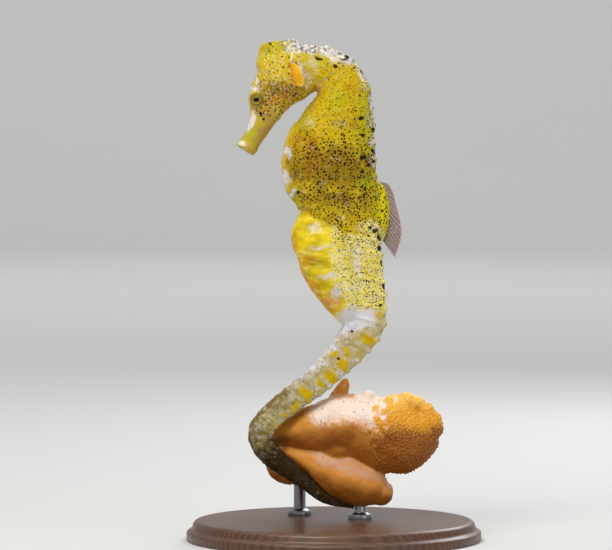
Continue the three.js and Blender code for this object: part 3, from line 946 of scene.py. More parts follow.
@dataclass
class Skin:
    """The one skin over the head, neck, trunk, pouch and tail, with its rings, ridges and knobs."""

    plan: BodyPlan
    eye: Eye
    sides: int = 160
    fine_rows: int = 12  # rows of points in each ring of the trunk and the tail's root
    fine_tail_rings: int = 8
    head_bend: float = 7.5
    trunk_shape: tuple[Pair, ...] = (  # share of depth and of width at each corner, from back to belly
        (0.94, 0), (0.98, 0.48), (0.62, 0.86), (0.12, 1), (-0.36, 0.92), (-0.66, 0.7), (-0.87, 0.36), (-1, 0),
    )
    tail_shape: tuple[Pair, ...] = (
        (0.88, 0), (0.97, 0.74), (0.55, 0.94), (0, 0.95), (-0.55, 0.94), (-0.97, 0.74), (-0.92, 0.36),
        (-0.88, 0),
    )
    trunk_ridges: tuple[int, ...] = (1, 3, 5)  # the corners that carry them
    swellings: tuple[Bulge, ...] = (
        Bulge((-18.8, 1.6, 110.5), (2.5, 2.1, 2.6), 0, 0.3, (8, 22)),
        Bulge((-18.8, -1.6, 110.5), (2.5, 2.1, 2.6), 0, 0.3, (8, 22)),
        Bulge((-12.4, 3.1, 115.0), (4.6, 2.6, 4.2), 30, 0.25, (8, 32)),
        Bulge((-12.4, -3.1, 115.0), (4.6, 2.6, 4.2), 30, 0.25, (8, 32)),
        Bulge((9.9, 0, 81.6), (4.0, 3.9, 8.6), 3, 0.6, (54, 84)),
    )
    pouch: tuple[Section, ...] = sections(
        (3.0, 84.0, -8.6, 82.0, 7.0), (5.5, 79.5, -10.6, 77.0, 13.0), (6.5, 73.0, -9.6, 70.6, 15.6),
        (7.5, 66.0, -6.6, 64.4, 15.2), (8.0, 60.0, -2.4, 58.6, 12.4), (7.6, 55.6, 1.4, 54.6, 8.2),
        (7.4, 52.6, 4.6, 52.2, 4.0),
    )
    pouch_slope: float = 0.15
    pouch_rows: Pair = (52.0, 104.0)
    pouch_blend: float = 0.35
    ray_step: float = 0.12
    ray_end: float = 19.0
    mouth: tuple[Place, ...] = (  # how far beyond the jaw, share of depth, share of width, from throat to lip
        (-1.2, 0.02, 0.1), (-0.9, 0.05, 0.35), (-0.35, 0.1, 0.55), (0.15, 0.18, 0.68), (0.4, 0.4, 0.8),
        (0.42, 0.7, 0.92), (0.22, 0.92, 1.0), (0.0, 1.0, 1.0),
    )
    mouth_rows: int = 20
    head_knobs: tuple[Knob, ...] = (  # two over the brow, one behind the jaw, and the nostril's rim and pit
        Knob((-20.4, -1.4, 113.9), 0.7, 0.65),
        Knob((-18.3, -3.1, 114.8), 0.7, 0.32),
        Knob((-16.0, -3.9, 108.3), 0.6, 0.25),
        Knob((-20.6, -1.1, 107.9), 0.45, 0.16),
        Knob((-20.6, -1.1, 107.9), 0.2, -0.4),
    )
    gill: Pair = (-12.4, 115.0)
    gill_half: Pair = (4.6, 4.2)
    gill_root: Pair = (-14.6, 114.2)
    gill_spokes: int = 34
    coronet: Pair = (-13.4, 123.4)
    coronet_half: Pair = (5.3, 3.3)
    coronet_tilt: float = 9.0
    coronet_height: float = 1.75
    coronet_lobes: int = 5
    keel: Pair = (85.0, 104.5)
    markings: Markings = Markings()
    rows: Array = field(init=False)  # distance of each row of points from the mouth
    points: Array = field(init=False)  # (rows, sides, 3) places
    values: dict[str, Array] = field(default_factory=dict)  # what the finish reads at each point

    @cached_property
    def corner(self) -> Array:
        """Where each point of a section lies, counted in corners from the back."""
        return np.arange(self.sides) / self.sides * CORNERS

    @cached_property
    def around(self) -> Array:
        """How many corners lie between each point of a section and the back, by the nearer side."""
        return BELLY - np.abs(self.corner - BELLY)

    def _place_rows(self) -> Array:
        """Distances from the mouth of the rows of points, closer together where the head bends.

        Returns:
            The distances in order.
        """
        edges = self.plan.edges
        neck = self.plan.neck_start
        parts = [np.arange(0.0, self.head_bend, 0.3), np.arange(self.head_bend, neck, 0.2)]
        parts.append(np.linspace(neck, edges[3], 54)[:-1])
        for ring in range(3, len(edges) - 1):
            fine = ring < self.plan.trunk_rings + self.fine_tail_rings
            count = self.fine_rows if fine else max(6, round((edges[ring + 1] - edges[ring]) / 0.33))
            parts.append(np.linspace(edges[ring], edges[ring + 1], count, endpoint=False))
        parts.append([self.plan.spine.length - 0.02])
        return np.concatenate(parts)

    def build(self) -> Piece:
        """Shapes the skin and stores what its finish reads.

        Returns:
            The skin.
        """
        self.rows = self._place_rows()
        self._swell()
        self._raise_armour()
        self._raise_coronet()
        self._raise_head()
        self._close_mouth()
        self._paint()
        ends = np.array([self.points[0].mean(axis=0), self.points[-1].mean(axis=0)])
        points = np.vstack([self.points.reshape(-1, 3), ends])
        piece = make_mesh("skin", points, tube_faces(len(self.rows), self.sides))
        for name, values in self.values.items():
            set_values(piece, name, np.concatenate([values.ravel(), [values[0].mean(), values[-1].mean()]]))
        self._unwrap(piece)
        return piece

    def _swell(self) -> None:
        """Places the points on the plain body with its swellings and pouch, and no relief."""
        rows = self.rows
        frames = self.plan.spine.at(rows)
        base = self._sections(frames)
        middle = frames.middle[:, None, :]
        offset = base - middle
        radius = norm(offset, axis=-1)
        direction = offset / np.maximum(radius, 1e-6)[..., None]
        start = np.broadcast_to(middle, base.shape)
        swollen = radius.copy()
        hump = np.zeros_like(radius)
        for bulge in self.swellings:
            near = (rows > bulge.rows[0]) & (rows < bulge.rows[1])
            reach = bulge.reach(start[near], direction[near])
            if bulge.at[0] > 0:
                hump[near] = ramp(reach - swollen[near], -0.8, 0.6)
            swollen[near] = blend_out(swollen[near], reach, bulge.blend)
        near = (rows > self.pouch_rows[0]) & (rows < self.pouch_rows[1])
        pouch = np.full_like(radius, MISS)
        pouch[near] = self._pouch_reach(start[near], direction[near])
        self.values["pouch"] = ramp(pouch - swollen, -0.5, 0.5)
        self.values["hump"] = hump
        self.points = middle + direction * blend_out(swollen, pouch, self.pouch_blend)[..., None]

    def _sections(self, frames: Frames) -> Array:
        """The plain body, with no swellings and no relief.

        Args:
            frames: the body's frames at the rows.

        Returns:
            (rows, sides, 3) places.
        """
        rows, neck, vent = self.rows, self.plan.neck_start, self.plan.trunk_end
        trunk = ramp(rows, neck - 4, neck + 8)[:, None, None]
        tail = ramp(rows, vent - 6, vent + 14)[:, None, None]
        turn = np.pi * np.arange(BELLY + 1) / BELLY
        round_shape = np.stack([np.cos(turn), np.sin(turn)], axis=1)
        armour = (1 - tail) * np.array(self.trunk_shape) + tail * np.array(self.tail_shape)
        half = (1 - trunk) * round_shape + trunk * armour
        ring = np.concatenate([half * np.array([1, -1]), half[:, -2:0:-1]], axis=1)
        cell = self.corner.astype(int)
        t = (self.corner - cell)[None, :, None]
        before, here, after, beyond = (ring[:, (cell + i) % CORNERS] for i in (-1, 0, 1, 2))
        smooth = rounded_between(before, here, after, beyond, t)
        flat = here + (after - here) * t
        sharp = 0.3 * trunk + 0.25 * tail
        shape = (1 - sharp) * smooth + sharp * flat
        deep = shape[..., 0:1] * frames.half_depth[:, None, None]
        wide = shape[..., 1:2] * frames.half_width[:, None, None]
        return frames.middle[:, None, :] + deep * frames.dorsal[:, None, :] + wide * np.array([0, 1, 0])

    def _pouch_reach(self, start: Array, direction: Array) -> Array:
        """How far rays from the body's middle run before they leave the pouch.

        Args:
            start: (..., 3) where the rays start.
            direction: (..., 3) their unit directions.

        Returns:
            Distances, or MISS where a ray meets nothing.
        """
        knots = np.array([(*s.back, *s.belly, s.width) for s in self.pouch])
        back_x, back_z, belly_x, belly_z, width = catmull_rom(knots, np.linspace(0, 1, 80)).T
        level = (back_z + belly_z) / 2 - self.pouch_slope * (back_x + belly_x) / 2
        order = np.argsort(level)
        centre_x = ((back_x + belly_x) / 2)[order]
        half_x = ((back_x - belly_x) / 2)[order]
        half_y = (width / 2)[order]
        level = level[order]
        best = np.full(start.shape[:-1], MISS)
        outer = np.full(start.shape[:-1], -1.0)
        for distance in np.arange(0.2, self.ray_end, self.ray_step):
            p = start + direction * distance
            here = p[..., 2] - self.pouch_slope * p[..., 0]
            across = (p[..., 0] - np.interp(here, level, centre_x)) / np.interp(here, level, half_x)
            side = p[..., 1] / np.interp(here, level, half_y)
            ends = np.minimum(here - level[0], level[-1] - here)
            depth = np.minimum(1 - across**2 - side**2, ends)
            crossing = (depth <= 0) & (outer > 0)
            overshoot = self.ray_step * (1 - outer / np.maximum(outer - depth, 1e-9))
            best = np.where(crossing, distance - overshoot, best)
            outer = depth
        return best

    def _raise_armour(self) -> None:
        """Raises the ring lines, ridges, knobs and keel."""
        points, rows = self.points, self.rows
        edges, neck, vent = self.plan.edges, self.plan.neck_start, self.plan.trunk_end
        ring = np.interp(rows, edges, np.arange(len(edges)))
        length = np.interp(rows, edges[:-1], np.diff(edges))
        along = ((ring - np.round(ring)) * length)[:, None]
        half = self.around[None, :]
        step = norm(np.roll(points, -1, axis=1) - points, axis=-1).sum(axis=1) / CORNERS
        unit = np.maximum(step, 0.05)[:, None]
        trunk = ramp(rows, neck - 1, neck + 5)[:, None]
        tail = ramp(rows, vent - 4, vent + 8)[:, None]
        thin = np.clip(self.plan.spine.at(rows).half_depth / 3.6, 0.12, 1)[:, None]
        bare = 1 - self.values["pouch"]
        no_hump = 1 - self.values["hump"]
        size = np.maximum(thin, 0.35)

        def ridge(k: float, width: float) -> Array:
            """A ridge along corner k of the sections."""
            return bell((half - k) * unit, width * size)

        line = bell(along, 0.42 * size) - 0.25 * bell(np.abs(along) - 1.0 * size, 0.5)
        trunk_ridge = sum(ridge(k, 0.75) for k in self.trunk_ridges)
        tail_ridge = ridge(1, 0.7) + 0.6 * ridge(5, 0.6) + 0.3 * ridge(3, 0.6)
        ridges = (1 - tail) * trunk_ridge + tail * tail_ridge
        tail_base = ramp(rows, 114, 98)[:, None] * tail
        uneven = 0.7 + 0.6 * smooth_noise(points, 4.0, 12, 2)
        back_height = 0.42 - 0.28 * tail + 0.34 * tail_base
        back_knob = bell(along, 0.8 * size) * ridge(1, 1.0) * back_height * uneven
        trunk_sides = (1 - tail) * (ridge(3, 0.8) + ridge(5, 0.8)) * 0.12
        tail_sides = tail * (0.08 * ridge(3, 0.6) + 0.1 * ridge(5, 0.6))
        side_knob = bell(along, 0.62 * size) * (trunk_sides + tail_sides)
        line = line * (1 - 0.8 * tail * ramp(half, 4.4, 6.2))
        relief = (0.11 + 0.05 * tail) * line + 0.1 * ridges * trunk + (back_knob + side_knob)
        height = relief * trunk * thin * bare * no_hump
        height = height + 0.07 * smooth_noise(points, 3.2, 11, 3) * np.maximum(thin, 0.3)
        z = points[..., 2]
        low, high = self.keel
        keel = ramp(z, low - 2, low + 2) * ramp(z, high + 2, high - 2)
        keel = keel * bell(half - BELLY, 0.16) * ramp(rows, 40, 46)[:, None] * bare
        height = height + 0.75 * keel
        # The height, which the finish also lightens as a painted highlight.
        self.values["raised"] = height
        self._push(height)

    def _push(self, height: Array) -> None:
        """Moves the points outwards along the surface's normal.

        Args:
            height: how far each goes, in mm.
        """
        normals = grid_normals(self.points)
        from_middle = self.points - self.points.mean(axis=1, keepdims=True)
        outward = np.sign(np.sum(normals * from_middle, axis=-1).mean())
        self.points = self.points + normals * outward * height[..., None]

    def _on_head(self) -> Array:
        """1 on the rows of the head and 0 behind it."""
        return ramp(self.rows, 31, 27)[:, None]

    def _raise_head(self) -> None:
        """Raises the brow, lids, gill covers and lips, and sinks the forehead, nostrils and sockets."""
        points, head = self.points, self._on_head()
        x, y, z = points[..., 0], np.abs(points[..., 1]), points[..., 2]
        mirrored = np.stack([x, -y, z], axis=-1)
        offset = mirrored - np.array(self.eye.middle)
        gaze = np.array(self.eye.gaze)
        ahead = offset @ gaze
        off_axis = norm(offset - ahead[..., None] * gaze, axis=-1)
        facing = head * (ahead > 0)
        forehead = bell(z - 117.3, 1.9) * bell(y, 2.6) * ramp(x, -15, -18)
        height = sum(knob.rise(mirrored) for knob in self.head_knobs) - 1.15 * forehead
        height = height + facing * (0.2 * bell(off_axis - 1.62, 0.2) - 0.08 * bell(off_axis - 2.05, 0.16))
        gill = np.hypot((x - self.gill[0]) / self.gill_half[0], (z - self.gill[1]) / self.gill_half[1])
        rear = ramp(x, -13.5, -11.5) * ramp(y, 2.5, 3.5) * head
        height = height - 0.22 * bell(gill - 1.0, 0.055) * rear + 0.12 * bell(gill - 0.9, 0.06) * rear
        spokes = np.sin(self.gill_spokes * np.arctan2(z - self.gill_root[1], x - self.gill_root[0]))
        height = height + 0.03 * spokes * ramp(gill, 0.2, 0.5) * ramp(gill, 1.0, 0.9) * rear
        lip = 0.3 * bell(self.rows - 0.6, 0.8)[:, None]
        self.values["lid"] = facing * bell(off_axis - 1.55, 0.5)
        self._push(height * head + lip)
        ball = np.sqrt(np.maximum(self.eye.radius**2 - off_axis**2, 0)) - 0.3
        sink = np.minimum(ball - ahead, 0) * facing * ramp(off_axis, 1.52, 1.12)
        side = -np.sign(self.points[..., 1])
        move = gaze * np.stack([np.ones_like(y), side, np.ones_like(y)], axis=-1)
        self.points = self.points + move * sink[..., None]

    def _raise_coronet(self) -> None:
        """Raises the low crown with its steep wall, blunt lobes and shallow middle."""
        points, head = self.points, self._on_head()
        turn = math.radians(self.coronet_tilt)
        along = np.array([math.cos(turn), 0, math.sin(turn)])
        up = np.array([-math.sin(turn), 0, math.cos(turn)])
        offset = points - np.array([self.coronet[0], 0, self.coronet[1]])
        a = offset @ along / self.coronet_half[0]
        b = points[..., 1] / self.coronet_half[1]
        wave = np.cos(self.coronet_lobes * np.arctan2(b, a) + math.pi)
        reach = np.hypot(a, b) / (1 + 0.07 * wave)
        lobes = (0.88 + 0.12 * wave) * (1 - 0.45 * ramp(a, 0.35, 1.0))
        wall = ramp(reach, 1.04, 0.78)
        dip = 1 - 0.34 * ramp(reach, 0.72, 0.2)
        top = ramp(offset @ up, -2.6, -1.2) * head
        rise = self.coronet_height * wall * dip * lobes * top
        crease = 0.16 * smooth_noise(points, 1.9, 5, 3) * wall * top
        flare = 0.35 * bell(reach - 0.88, 0.13) * top * (1 - 0.7 * ramp(a, 0.2, 0.8))
        outward = np.stack([a, b * self.coronet_half[1] / self.coronet_half[0], np.zeros_like(a)], axis=-1)
        outward = outward / np.maximum(norm(outward, axis=-1, keepdims=True), 1e-6)
        self.values["coronet"] = wall * top
        self.points = points + up * (rise + crease)[..., None] + outward * flare[..., None]

    def _close_mouth(self) -> None:
        """Adds the lips and the inside of the mouth in front of the first row."""
        ring = self.points[0]
        middle = ring.mean(axis=0)
        forward = middle - self.points[6].mean(axis=0)
        forward = forward / norm(forward)
        side = np.array([0, 1, 0])
        deep = np.cross(side, forward)
        profile = catmull_rom(np.array(self.mouth), np.linspace(0, 1, self.mouth_rows + 1))[:-1]
        in_depth, in_width = (ring - middle) @ deep, (ring - middle) @ side
        made = []
        for beyond, depth_share, width_share in profile:
            rim = middle + forward * beyond
            made.append(rim + np.outer(in_depth * depth_share, deep) + np.outer(in_width * width_share, side))
        for name, values in self.values.items():
            self.values[name] = np.vstack([np.repeat(values[:1], len(profile), axis=0), values])
        # The recessed middle of the mouth, which the finish paints umber as shade.
        inner = ramp(profile[:, 1], 0.3, 0.12)
        inside = np.concatenate([inner, np.zeros(len(self.rows))])
        self.values["inside"] = inside[:, None] * np.ones(self.sides)
        self.points = np.concatenate([np.array(made), self.points])
        self.rows = np.concatenate([np.zeros(len(profile)), self.rows])

    def _paint(self) -> None:
        """Stores the covers of the patches and spots, and where along and around the body each point lies."""
        points = self.points
        warp = np.stack([smooth_noise(points, 5.0, seed) for seed in (21, 22, 23)], axis=-1)
        far = ramp(points[..., 1], -1.0, 2.5)[..., None]
        shift = warp * (0.45 + 0.9 * far)
        marks = self.markings
        across = ramp(self.around, 1.3, 0.5)[None, :] * (0.3 + 1.3 * smooth_noise(points, 1.7, 24, 2))
        self.values["black"] = edge_distance(points + warp * (0.15 + 0.9 * far), marks.black) + across
        for name in ("pale", "warm", "gold", "dusk", "lime"):
            self.values[name] = spread(points + shift, getattr(marks, name))
        x, z = points[..., 0] + shift[..., 0], points[..., 2]
        edge = -0.6 + 3.6 * ramp(z, 68, 57)
        below = ramp(z + 1.8 * warp[..., 1], 81, 76)
        self.values["pepper"] = ramp(x - edge, -1.4, 1.4) * below * ramp(z, 56, 59)
        self.values["along"] = np.broadcast_to(self.rows[:, None], points.shape[:2])
        self.values["around"] = np.broadcast_to(self.around[None, :], points.shape[:2])

    def _unwrap(self, piece: Piece) -> None:
        """Lays the skin out in two strips, the front half of the body beside the rest.

        Args:
            piece: the skin.
        """
        mesh = piece.data
        row_count, sides = len(self.rows), self.sides
        layer = mesh.uv_layers.new(name="OFBake")
        loops = np.empty(len(mesh.loops), np.int32)
        mesh.loops.foreach_get("vertex_index", loops)
        starts = np.empty(len(mesh.polygons), np.int32)
        totals = np.empty(len(mesh.polygons), np.int32)
        mesh.polygons.foreach_get("loop_start", starts)
        mesh.polygons.foreach_get("loop_total", totals)
        face = np.repeat(np.arange(len(starts)), totals)
        on_row = loops < row_count * sides
        end_row = np.where(loops == row_count * sides, 0, row_count - 1)
        row = np.where(on_row, loops // sides, end_row).astype(float)
        column = np.where(on_row, loops % sides, sides // 2).astype(float)
        widest = np.maximum.reduceat(np.where(on_row, column, 0), starts)[face]
        column = np.where((widest > sides * 0.75) & (column < sides * 0.25), column + sides, column)
        half = row_count // 2
        second = np.minimum.reduceat(row, starts)[face] >= half
        u = 0.01 + 0.47 * column / sides + 0.5 * second
        v = 0.01 + 0.98 * (row - half * second) / (row_count - half)
        layer.data.foreach_set("uv", np.stack([u, v], axis=1).astype(np.float32).ravel())

    def dress(self, piece: Piece) -> None:
        """Gives the skin its finish."""
        piece.data.materials.append(SkinFinish().make())


class SkinMaps:
    """What the skin's finish reads from the mesh, and the noises that its layers share."""

    def __init__(self) -> None:
        """Starts the skin's graph with them."""
        g = self.graph = Graph("skin")
        self.place = g.place()
        self.along, self.around = g.value("along"), g.value("around")
        self.pouch, self.hump = g.value("pouch"), g.value("hump")
        self.pale, self.pepper = g.value("pale"), g.value("pepper")
        self.lime, self.dusk = g.value("lime"), g.value("dusk")
        self.coronet = g.value("coronet")
        self.cloud = g.noise(self.place, 6.0, 4, 0.6)
        self.patch = g.noise(self.place, 2.2, 4, 0.6)
        self.fine = g.noise(self.place, 0.8, 3, 0.6)
        self.mesh = g.noise(self.place, 0.55, 2, 0.6)


@dataclass(frozen=True)
class SkinFinish:
    """Lemon skin with lime, tan and pale patches, dark dots of three sizes, and a mottled lilac-grey tail;
    painted highlights lighten the hump, the pouch and the raised relief, and painted shade darkens some dusky
    patches, the mouth and the tail's tip.
    """

    lemon: Colour = srgb(206, 172, 1)
    lime: Colour = srgb(176, 178, 1)
    # bright patches; also painted light on the hump and the pouch
    bright: Colour = srgb(252, 226, 4)
    # dark tone of the dusky patches and the tail's specks; in some patches it is painted shade
    shade: Colour = srgb(126, 92, 1)
    tan: Colour = srgb(182, 112, 3)
    orange: Colour = srgb(228, 164, 2)
    beige: Colour = srgb(170, 144, 82)
    # pale patches and mesh; also painted highlights on the raised relief and along the pouch's streaks
    cream: Colour = srgb(242, 234, 190)
    # pale yellow of the pouch's streaks, which are partly painted highlights
    butter: Colour = srgb(250, 232, 96)
    lilac: Colour = srgb(222, 218, 226)
    slate: Colour = srgb(92, 96, 116)
    ash: Colour = srgb(190, 176, 122)
    olive: Colour = srgb(106, 82, 22)
    # painted shade inside the mouth, and the dark of the tail's tip, partly painted shade
    umber: Colour = srgb(44, 24, 6)
    dot: Colour = srgb(22, 14, 3)

    @cached_property
    def maps(self) -> SkinMaps:
        """The skin's graph and what it reads."""
        return SkinMaps()

    def make(self) -> Material:
        """The skin's material.

        Returns:
            The finished material.
        """
        g, m = self.maps.graph, self.maps
        colour = self._pouch(self._ground())
        tail = (m.along.step(80, 96) * (1 - m.pouch) * 1.4 + (m.patch - 0.5) * 0.6 - 0.15).clip()
        colour = g.mix(colour, self._tail(), tail)
        pepper = (m.pepper * 1.7 + (m.patch - 0.5) * 1.6 - 0.3).clip()
        colour = g.mix(colour, self._pepper(), pepper * 0.92)
        dull = (m.cloud * 2.4 - 0.7 + m.around.step(5.4, 6.6) + m.along.step(70, 82) * 0.7).clip()
        pale_tone = g.mix(self.cream, self.lilac, dull)
        pale = (m.pale * 1.6 + (m.patch - 0.5) * 1.4 + (m.mesh - 0.5) * 0.8 - 0.35).clip()
        colour = self._back(g.mix(colour, pale_tone, pale * 0.92), pale_tone)
        # Painted highlight: cream on the raised rings, ridges and knobs.
        colour = g.mix(colour, self.cream, g.value("raised").step(0.1, 0.5) * 0.15)
        colour = g.mix(colour, self.dot, self._dots())
        black = (g.value("black") + (m.fine - 0.5) * 0.6).step(0.12, -0.12)
        colour = g.mix(colour, self.dot, black * 0.95)
        # Painted shade: umber in the recessed middle of the mouth.
        colour = g.mix(colour, self.umber, g.value("inside"))
        lid = (g.value("lid") * 0.9 + m.fine * 0.8 + m.patch * 1.6 - 1.45).clip()
        colour = g.mix(colour, self.olive, lid * 0.8)
        grain = g.noise(m.place, 0.45, 3, 0.6) * 0.6 + g.noise(m.place, 1.6, 2) * 0.4
        return g.surface(
            Base_Color=colour,
            Roughness=0.46 + m.fine * 0.2 - m.pouch * 0.06,
            Normal=g.bump(grain, 0.1),
            Specular_IOR_Level=0.08,
            Subsurface_Weight=0.06,
            Subsurface_Radius=(1.0, 0.7, 0.2),
            Subsurface_Scale=0.0008,
            Coat_Weight=0.03,
            Coat_Roughness=0.25,
        )

    def _ground(self) -> Value:
        """The yellow ground with its lime, bright, dusky and tan areas, and the snout and coronet; the bright
        areas are partly painted light on the hump and pouch, the dusky ones partly painted shade.

        Returns:
            The colour.
        """
        g, m = self.maps.graph, self.maps
        colour = g.mix(self.lemon, self.lime, (m.lime * 1.1 + m.cloud * 1.4 - 0.7).clip())
        # Lighter: partly the skin's bright patches and partly painted light on the hump and the pouch.
        bright = (m.hump * 0.9 + m.pouch * 0.7 + (m.patch - 0.5) * 1.2).clip()
        colour = g.mix(colour, self.bright, bright * 0.8)
        # Darker: noise and the dusk marks lay the shade colour, partly a dusky tone and partly painted shade
        # on the back edge, under the cheek and round the eye.
        dusk = (m.patch * 3.0 - 1.5 + m.dusk * 1.1).clip() * 0.8
        colour = g.mix(colour, self.shade, dusk * (1 - m.pouch * 0.8) * (1 - m.hump * 0.5))
        warm = (g.value("warm") * 1.2 + m.patch * 0.9 - 0.65).clip()
        colour = g.mix(colour, self.tan, warm * 0.85)
        colour = g.mix(colour, self.orange, (warm * m.pouch * 1.8).clip())
        face = m.along.step(30, 24) * m.along.step(6, 10) * (1 - m.coronet * 0.8)
        colour = g.mix(colour, self.cream, (m.mesh * 4.6 - 2.3).clip() * (0.5 * face + 0.12))
        snout = m.along.step(13, 7) * (0.5 + (m.patch - 0.5) * 1.6 + m.around.step(1, 5) * 0.2).clip()
        colour = g.mix(colour, self.beige, snout * 0.88 * (1 - m.lime))
        return g.mix(colour, self.olive, (m.coronet * (m.patch * 5.0 - 2.3)).clip() * 0.65)

    def _pouch(self, colour: Value) -> Value:
        """The pouch's pale streaks, partly painted highlights, and dusky clouds, which run round it.

        Args:
            colour: the colour so far.

        Returns:
            The colour with them.
        """
        g, m = self.maps.graph, self.maps
        streak = g.noise(g.mapped(m.place, (0.3, 0.5, 1.0), -14), 1.6, 4, 0.55)
        dusky = g.noise(g.mapped(m.place, (0.4, 0.5, 1.0), -14), 2.4, 3, 0.55)
        colour = g.mix(colour, self.shade, (dusky * 3.4 - 1.5 + m.dusk * 0.6).clip() * m.pouch * 0.62)
        # Butter and cream streaks: partly the pouch's own pale streaks and partly painted highlights.
        colour = g.mix(colour, self.butter, (streak * 3.6 + m.fine * 0.5 - 2.0).clip() * m.pouch * 0.8)
        return g.mix(colour, self.cream, (streak * 4.0 + m.fine * 0.5 - 2.75).clip() * m.pouch * 0.8)

    def _pepper(self) -> Value:
        """The pale cells behind the pouch.

        Returns:
            The colour.
        """
        g, m = self.maps.graph, self.maps
        cells = g.mix(self.cream, self.bright, (m.fine * 3.4 + m.cloud * 2.2 - 2.15).clip())
        cells = g.mix(cells, self.lilac, (m.patch * 2.6 - 1.3).clip() * 0.5)
        cells = g.mix(cells, self.ash, (m.cloud * 2.4 - 0.8).clip() * 0.55)
        upper = g.axis(m.place, "Z").step(62, 76)
        return g.mix(cells, self.slate, (m.mesh * 6.0 - 3.1).clip() * upper * 0.7)

    def _back(self, colour: Value, pale_tone: Value) -> Value:
        """The broken band of white, slate and black along the back from the nape to the dorsal fin.

        Args:
            colour: the colour so far.
            pale_tone: the tone of the skin's pale patches.

        Returns:
            The colour with the band.
        """
        g, m = self.maps.graph, self.maps
        nape = m.around.step(2.8, 1.2) * m.along.step(38, 33)
        rim = m.around.step(2.0, 0.5).most(nape) * m.along.step(23, 27) * m.along.step(62, 54)
        band = g.mix(pale_tone, self.slate, (g.noise(m.place, 0.9, 3, 0.6) * 5.0 - 2.2).clip())
        band = g.mix(band, self.dot, (g.noise(m.place, 1.3, 3, 0.6) * 7.0 - 3.75).clip())
        return g.mix(colour, band, (rim * 1.9 + (m.patch - 0.5) * 4.5 - 0.55).clip() * 0.92)

    def _tail(self) -> Value:
        """The tail's mottle: lilac-grey and cream with gold above, olive at the bend and umber at the tip,
        the umber partly painted shade on the strand below the upper finger.

        Returns:
            The colour.
        """
        g, m = self.maps.graph, self.maps
        belly = m.around.step(3.0, 6.2)
        blotch = g.noise(m.place, 1.3, 4, 0.65)
        bend = m.along.step(112, 128)
        tone = g.mix(self.ash, self.lilac, (m.patch * 2.8 + belly - 1.25).clip() * (1 - bend * 0.7))
        tone = g.mix(tone, self.cream, (m.fine * 3.6 - 1.8).clip() * 0.75)
        olive = (blotch * 4.2 + bend * (belly + 0.6) - 2.25 - belly * 0.35).clip()
        tone = g.mix(tone, self.olive, olive * 0.9)
        gold = g.value("gold") * 1.5 + (blotch - 0.5) * 3.6 + (m.patch - 0.5) * 1.8 - 0.22 - belly * 0.35
        tone = g.mix(tone, self.olive, (g.noise(m.place, 0.8, 3, 0.6) * 5.0 - 2.5).clip() * 0.7)
        specks = g.dots(m.place, 1.7, 0.34 * (0.4 + m.patch) * m.along.step(138, 126), 0.14)
        tone = g.mix(tone, self.shade, specks * 0.85)
        tone = g.mix(tone, self.lemon, (gold * 1.6 + (m.fine - 0.5) * 2.2).clip() * m.along.step(144, 128))
        # Umber towards the tip: partly the tail's own darker tone and partly painted shade on the strand
        # below the upper finger.
        dark = (m.along.step(127, 151) * 1.7 + m.fine * 1.1 + m.patch * 0.5 - 1.05).clip()
        return g.mix(tone, self.umber, dark * (0.86 + m.fine * 0.2).least(1.0))

    def _dots(self) -> Value:
        """Fine dots on the cheeks, middling ones on the trunk and large ones along the back.

        Returns:
            Their cover.
        """
        g, m = self.maps.graph, self.maps
        head = m.along.step(30, 26) * m.along.step(7, 10) * m.around.step(0.3, 1.4)
        cheek = g.axis(m.place, "Z").step(115.5, 112.5)
        trunk = m.along.step(23, 32) * m.along.step(80, 72) * (1 - m.pepper)
        chest = m.along.step(42, 52)
        flank = m.around.step(6.7, 5.7)
        speckle = g.noise(m.place, 4.0, 2)
        bare = (1 - m.pale * 0.6) * (1 - m.pouch * 0.95)
        small_size = (0.1 * head + 0.14 * trunk) * bare + 0.15 * m.pepper
        small = g.dots(m.place, 0.62, small_size * (0.5 + speckle), 0.05)
        middle_size = (0.25 * head * cheek + (0.18 + 0.1 * chest) * trunk * flank) * bare + 0.22 * m.pepper
        middle = g.dots(m.place, 0.76, middle_size * (0.6 + speckle * 0.8), 0.06)
        back = m.around.step(3.4, 2.0) * trunk * (1 - m.hump * 0.7)
        large = g.dots(m.place, 1.5, 0.34 * back * (0.4 + speckle), 0.08)
        large = large.most(g.dots(m.place, 1.1, 0.27 * head * (1 - cheek * 0.4) * bare, 0.07))
        return small.most(middle).most(large).least(1.0) * 0.96


# ---- Fins ----


def shell(sheet: Array, thickness: Array) -> tuple[Array, Faces]:
    """A closed thin solid on both sides of a sheet.

    Args:
        sheet: (rows, columns, 3) points of its middle, in mm.
        thickness: (rows, columns) whole thickness in mm.

    Returns:
        Its points and faces.
    """
    rows, columns = sheet.shape[:2]
    normal = np.cross(np.gradient(sheet, axis=0), np.gradient(sheet, axis=1))
    normal /= np.maximum(norm(normal, axis=-1, keepdims=True), 1e-9)
    half = normal * thickness[..., None] / 2
    points = np.concatenate([(sheet + half).reshape(-1, 3), (sheet - half).reshape(-1, 3)])
    count = rows * columns
    faces = []
    for i in range(rows - 1):
        for j in range(columns - 1):
            a, d = i * columns + j, (i + 1) * columns + j
            faces.append((a, a + 1, d + 1, d))
            faces.append((count + d, count + d + 1, count + a + 1, count + a))
    edge = [(0, j) for j in range(columns)] + [(i, columns - 1) for i in range(1, rows)]
    edge += [(rows - 1, j) for j in range(columns - 2, -1, -1)] + [(i, 0) for i in range(rows - 2, 0, -1)]
    loop = [i * columns + j for i, j in edge]
    for a, b in zip(loop, loop[1:] + loop[:1]):
        faces.append((b, a, count + a, count + b))
    return points, faces


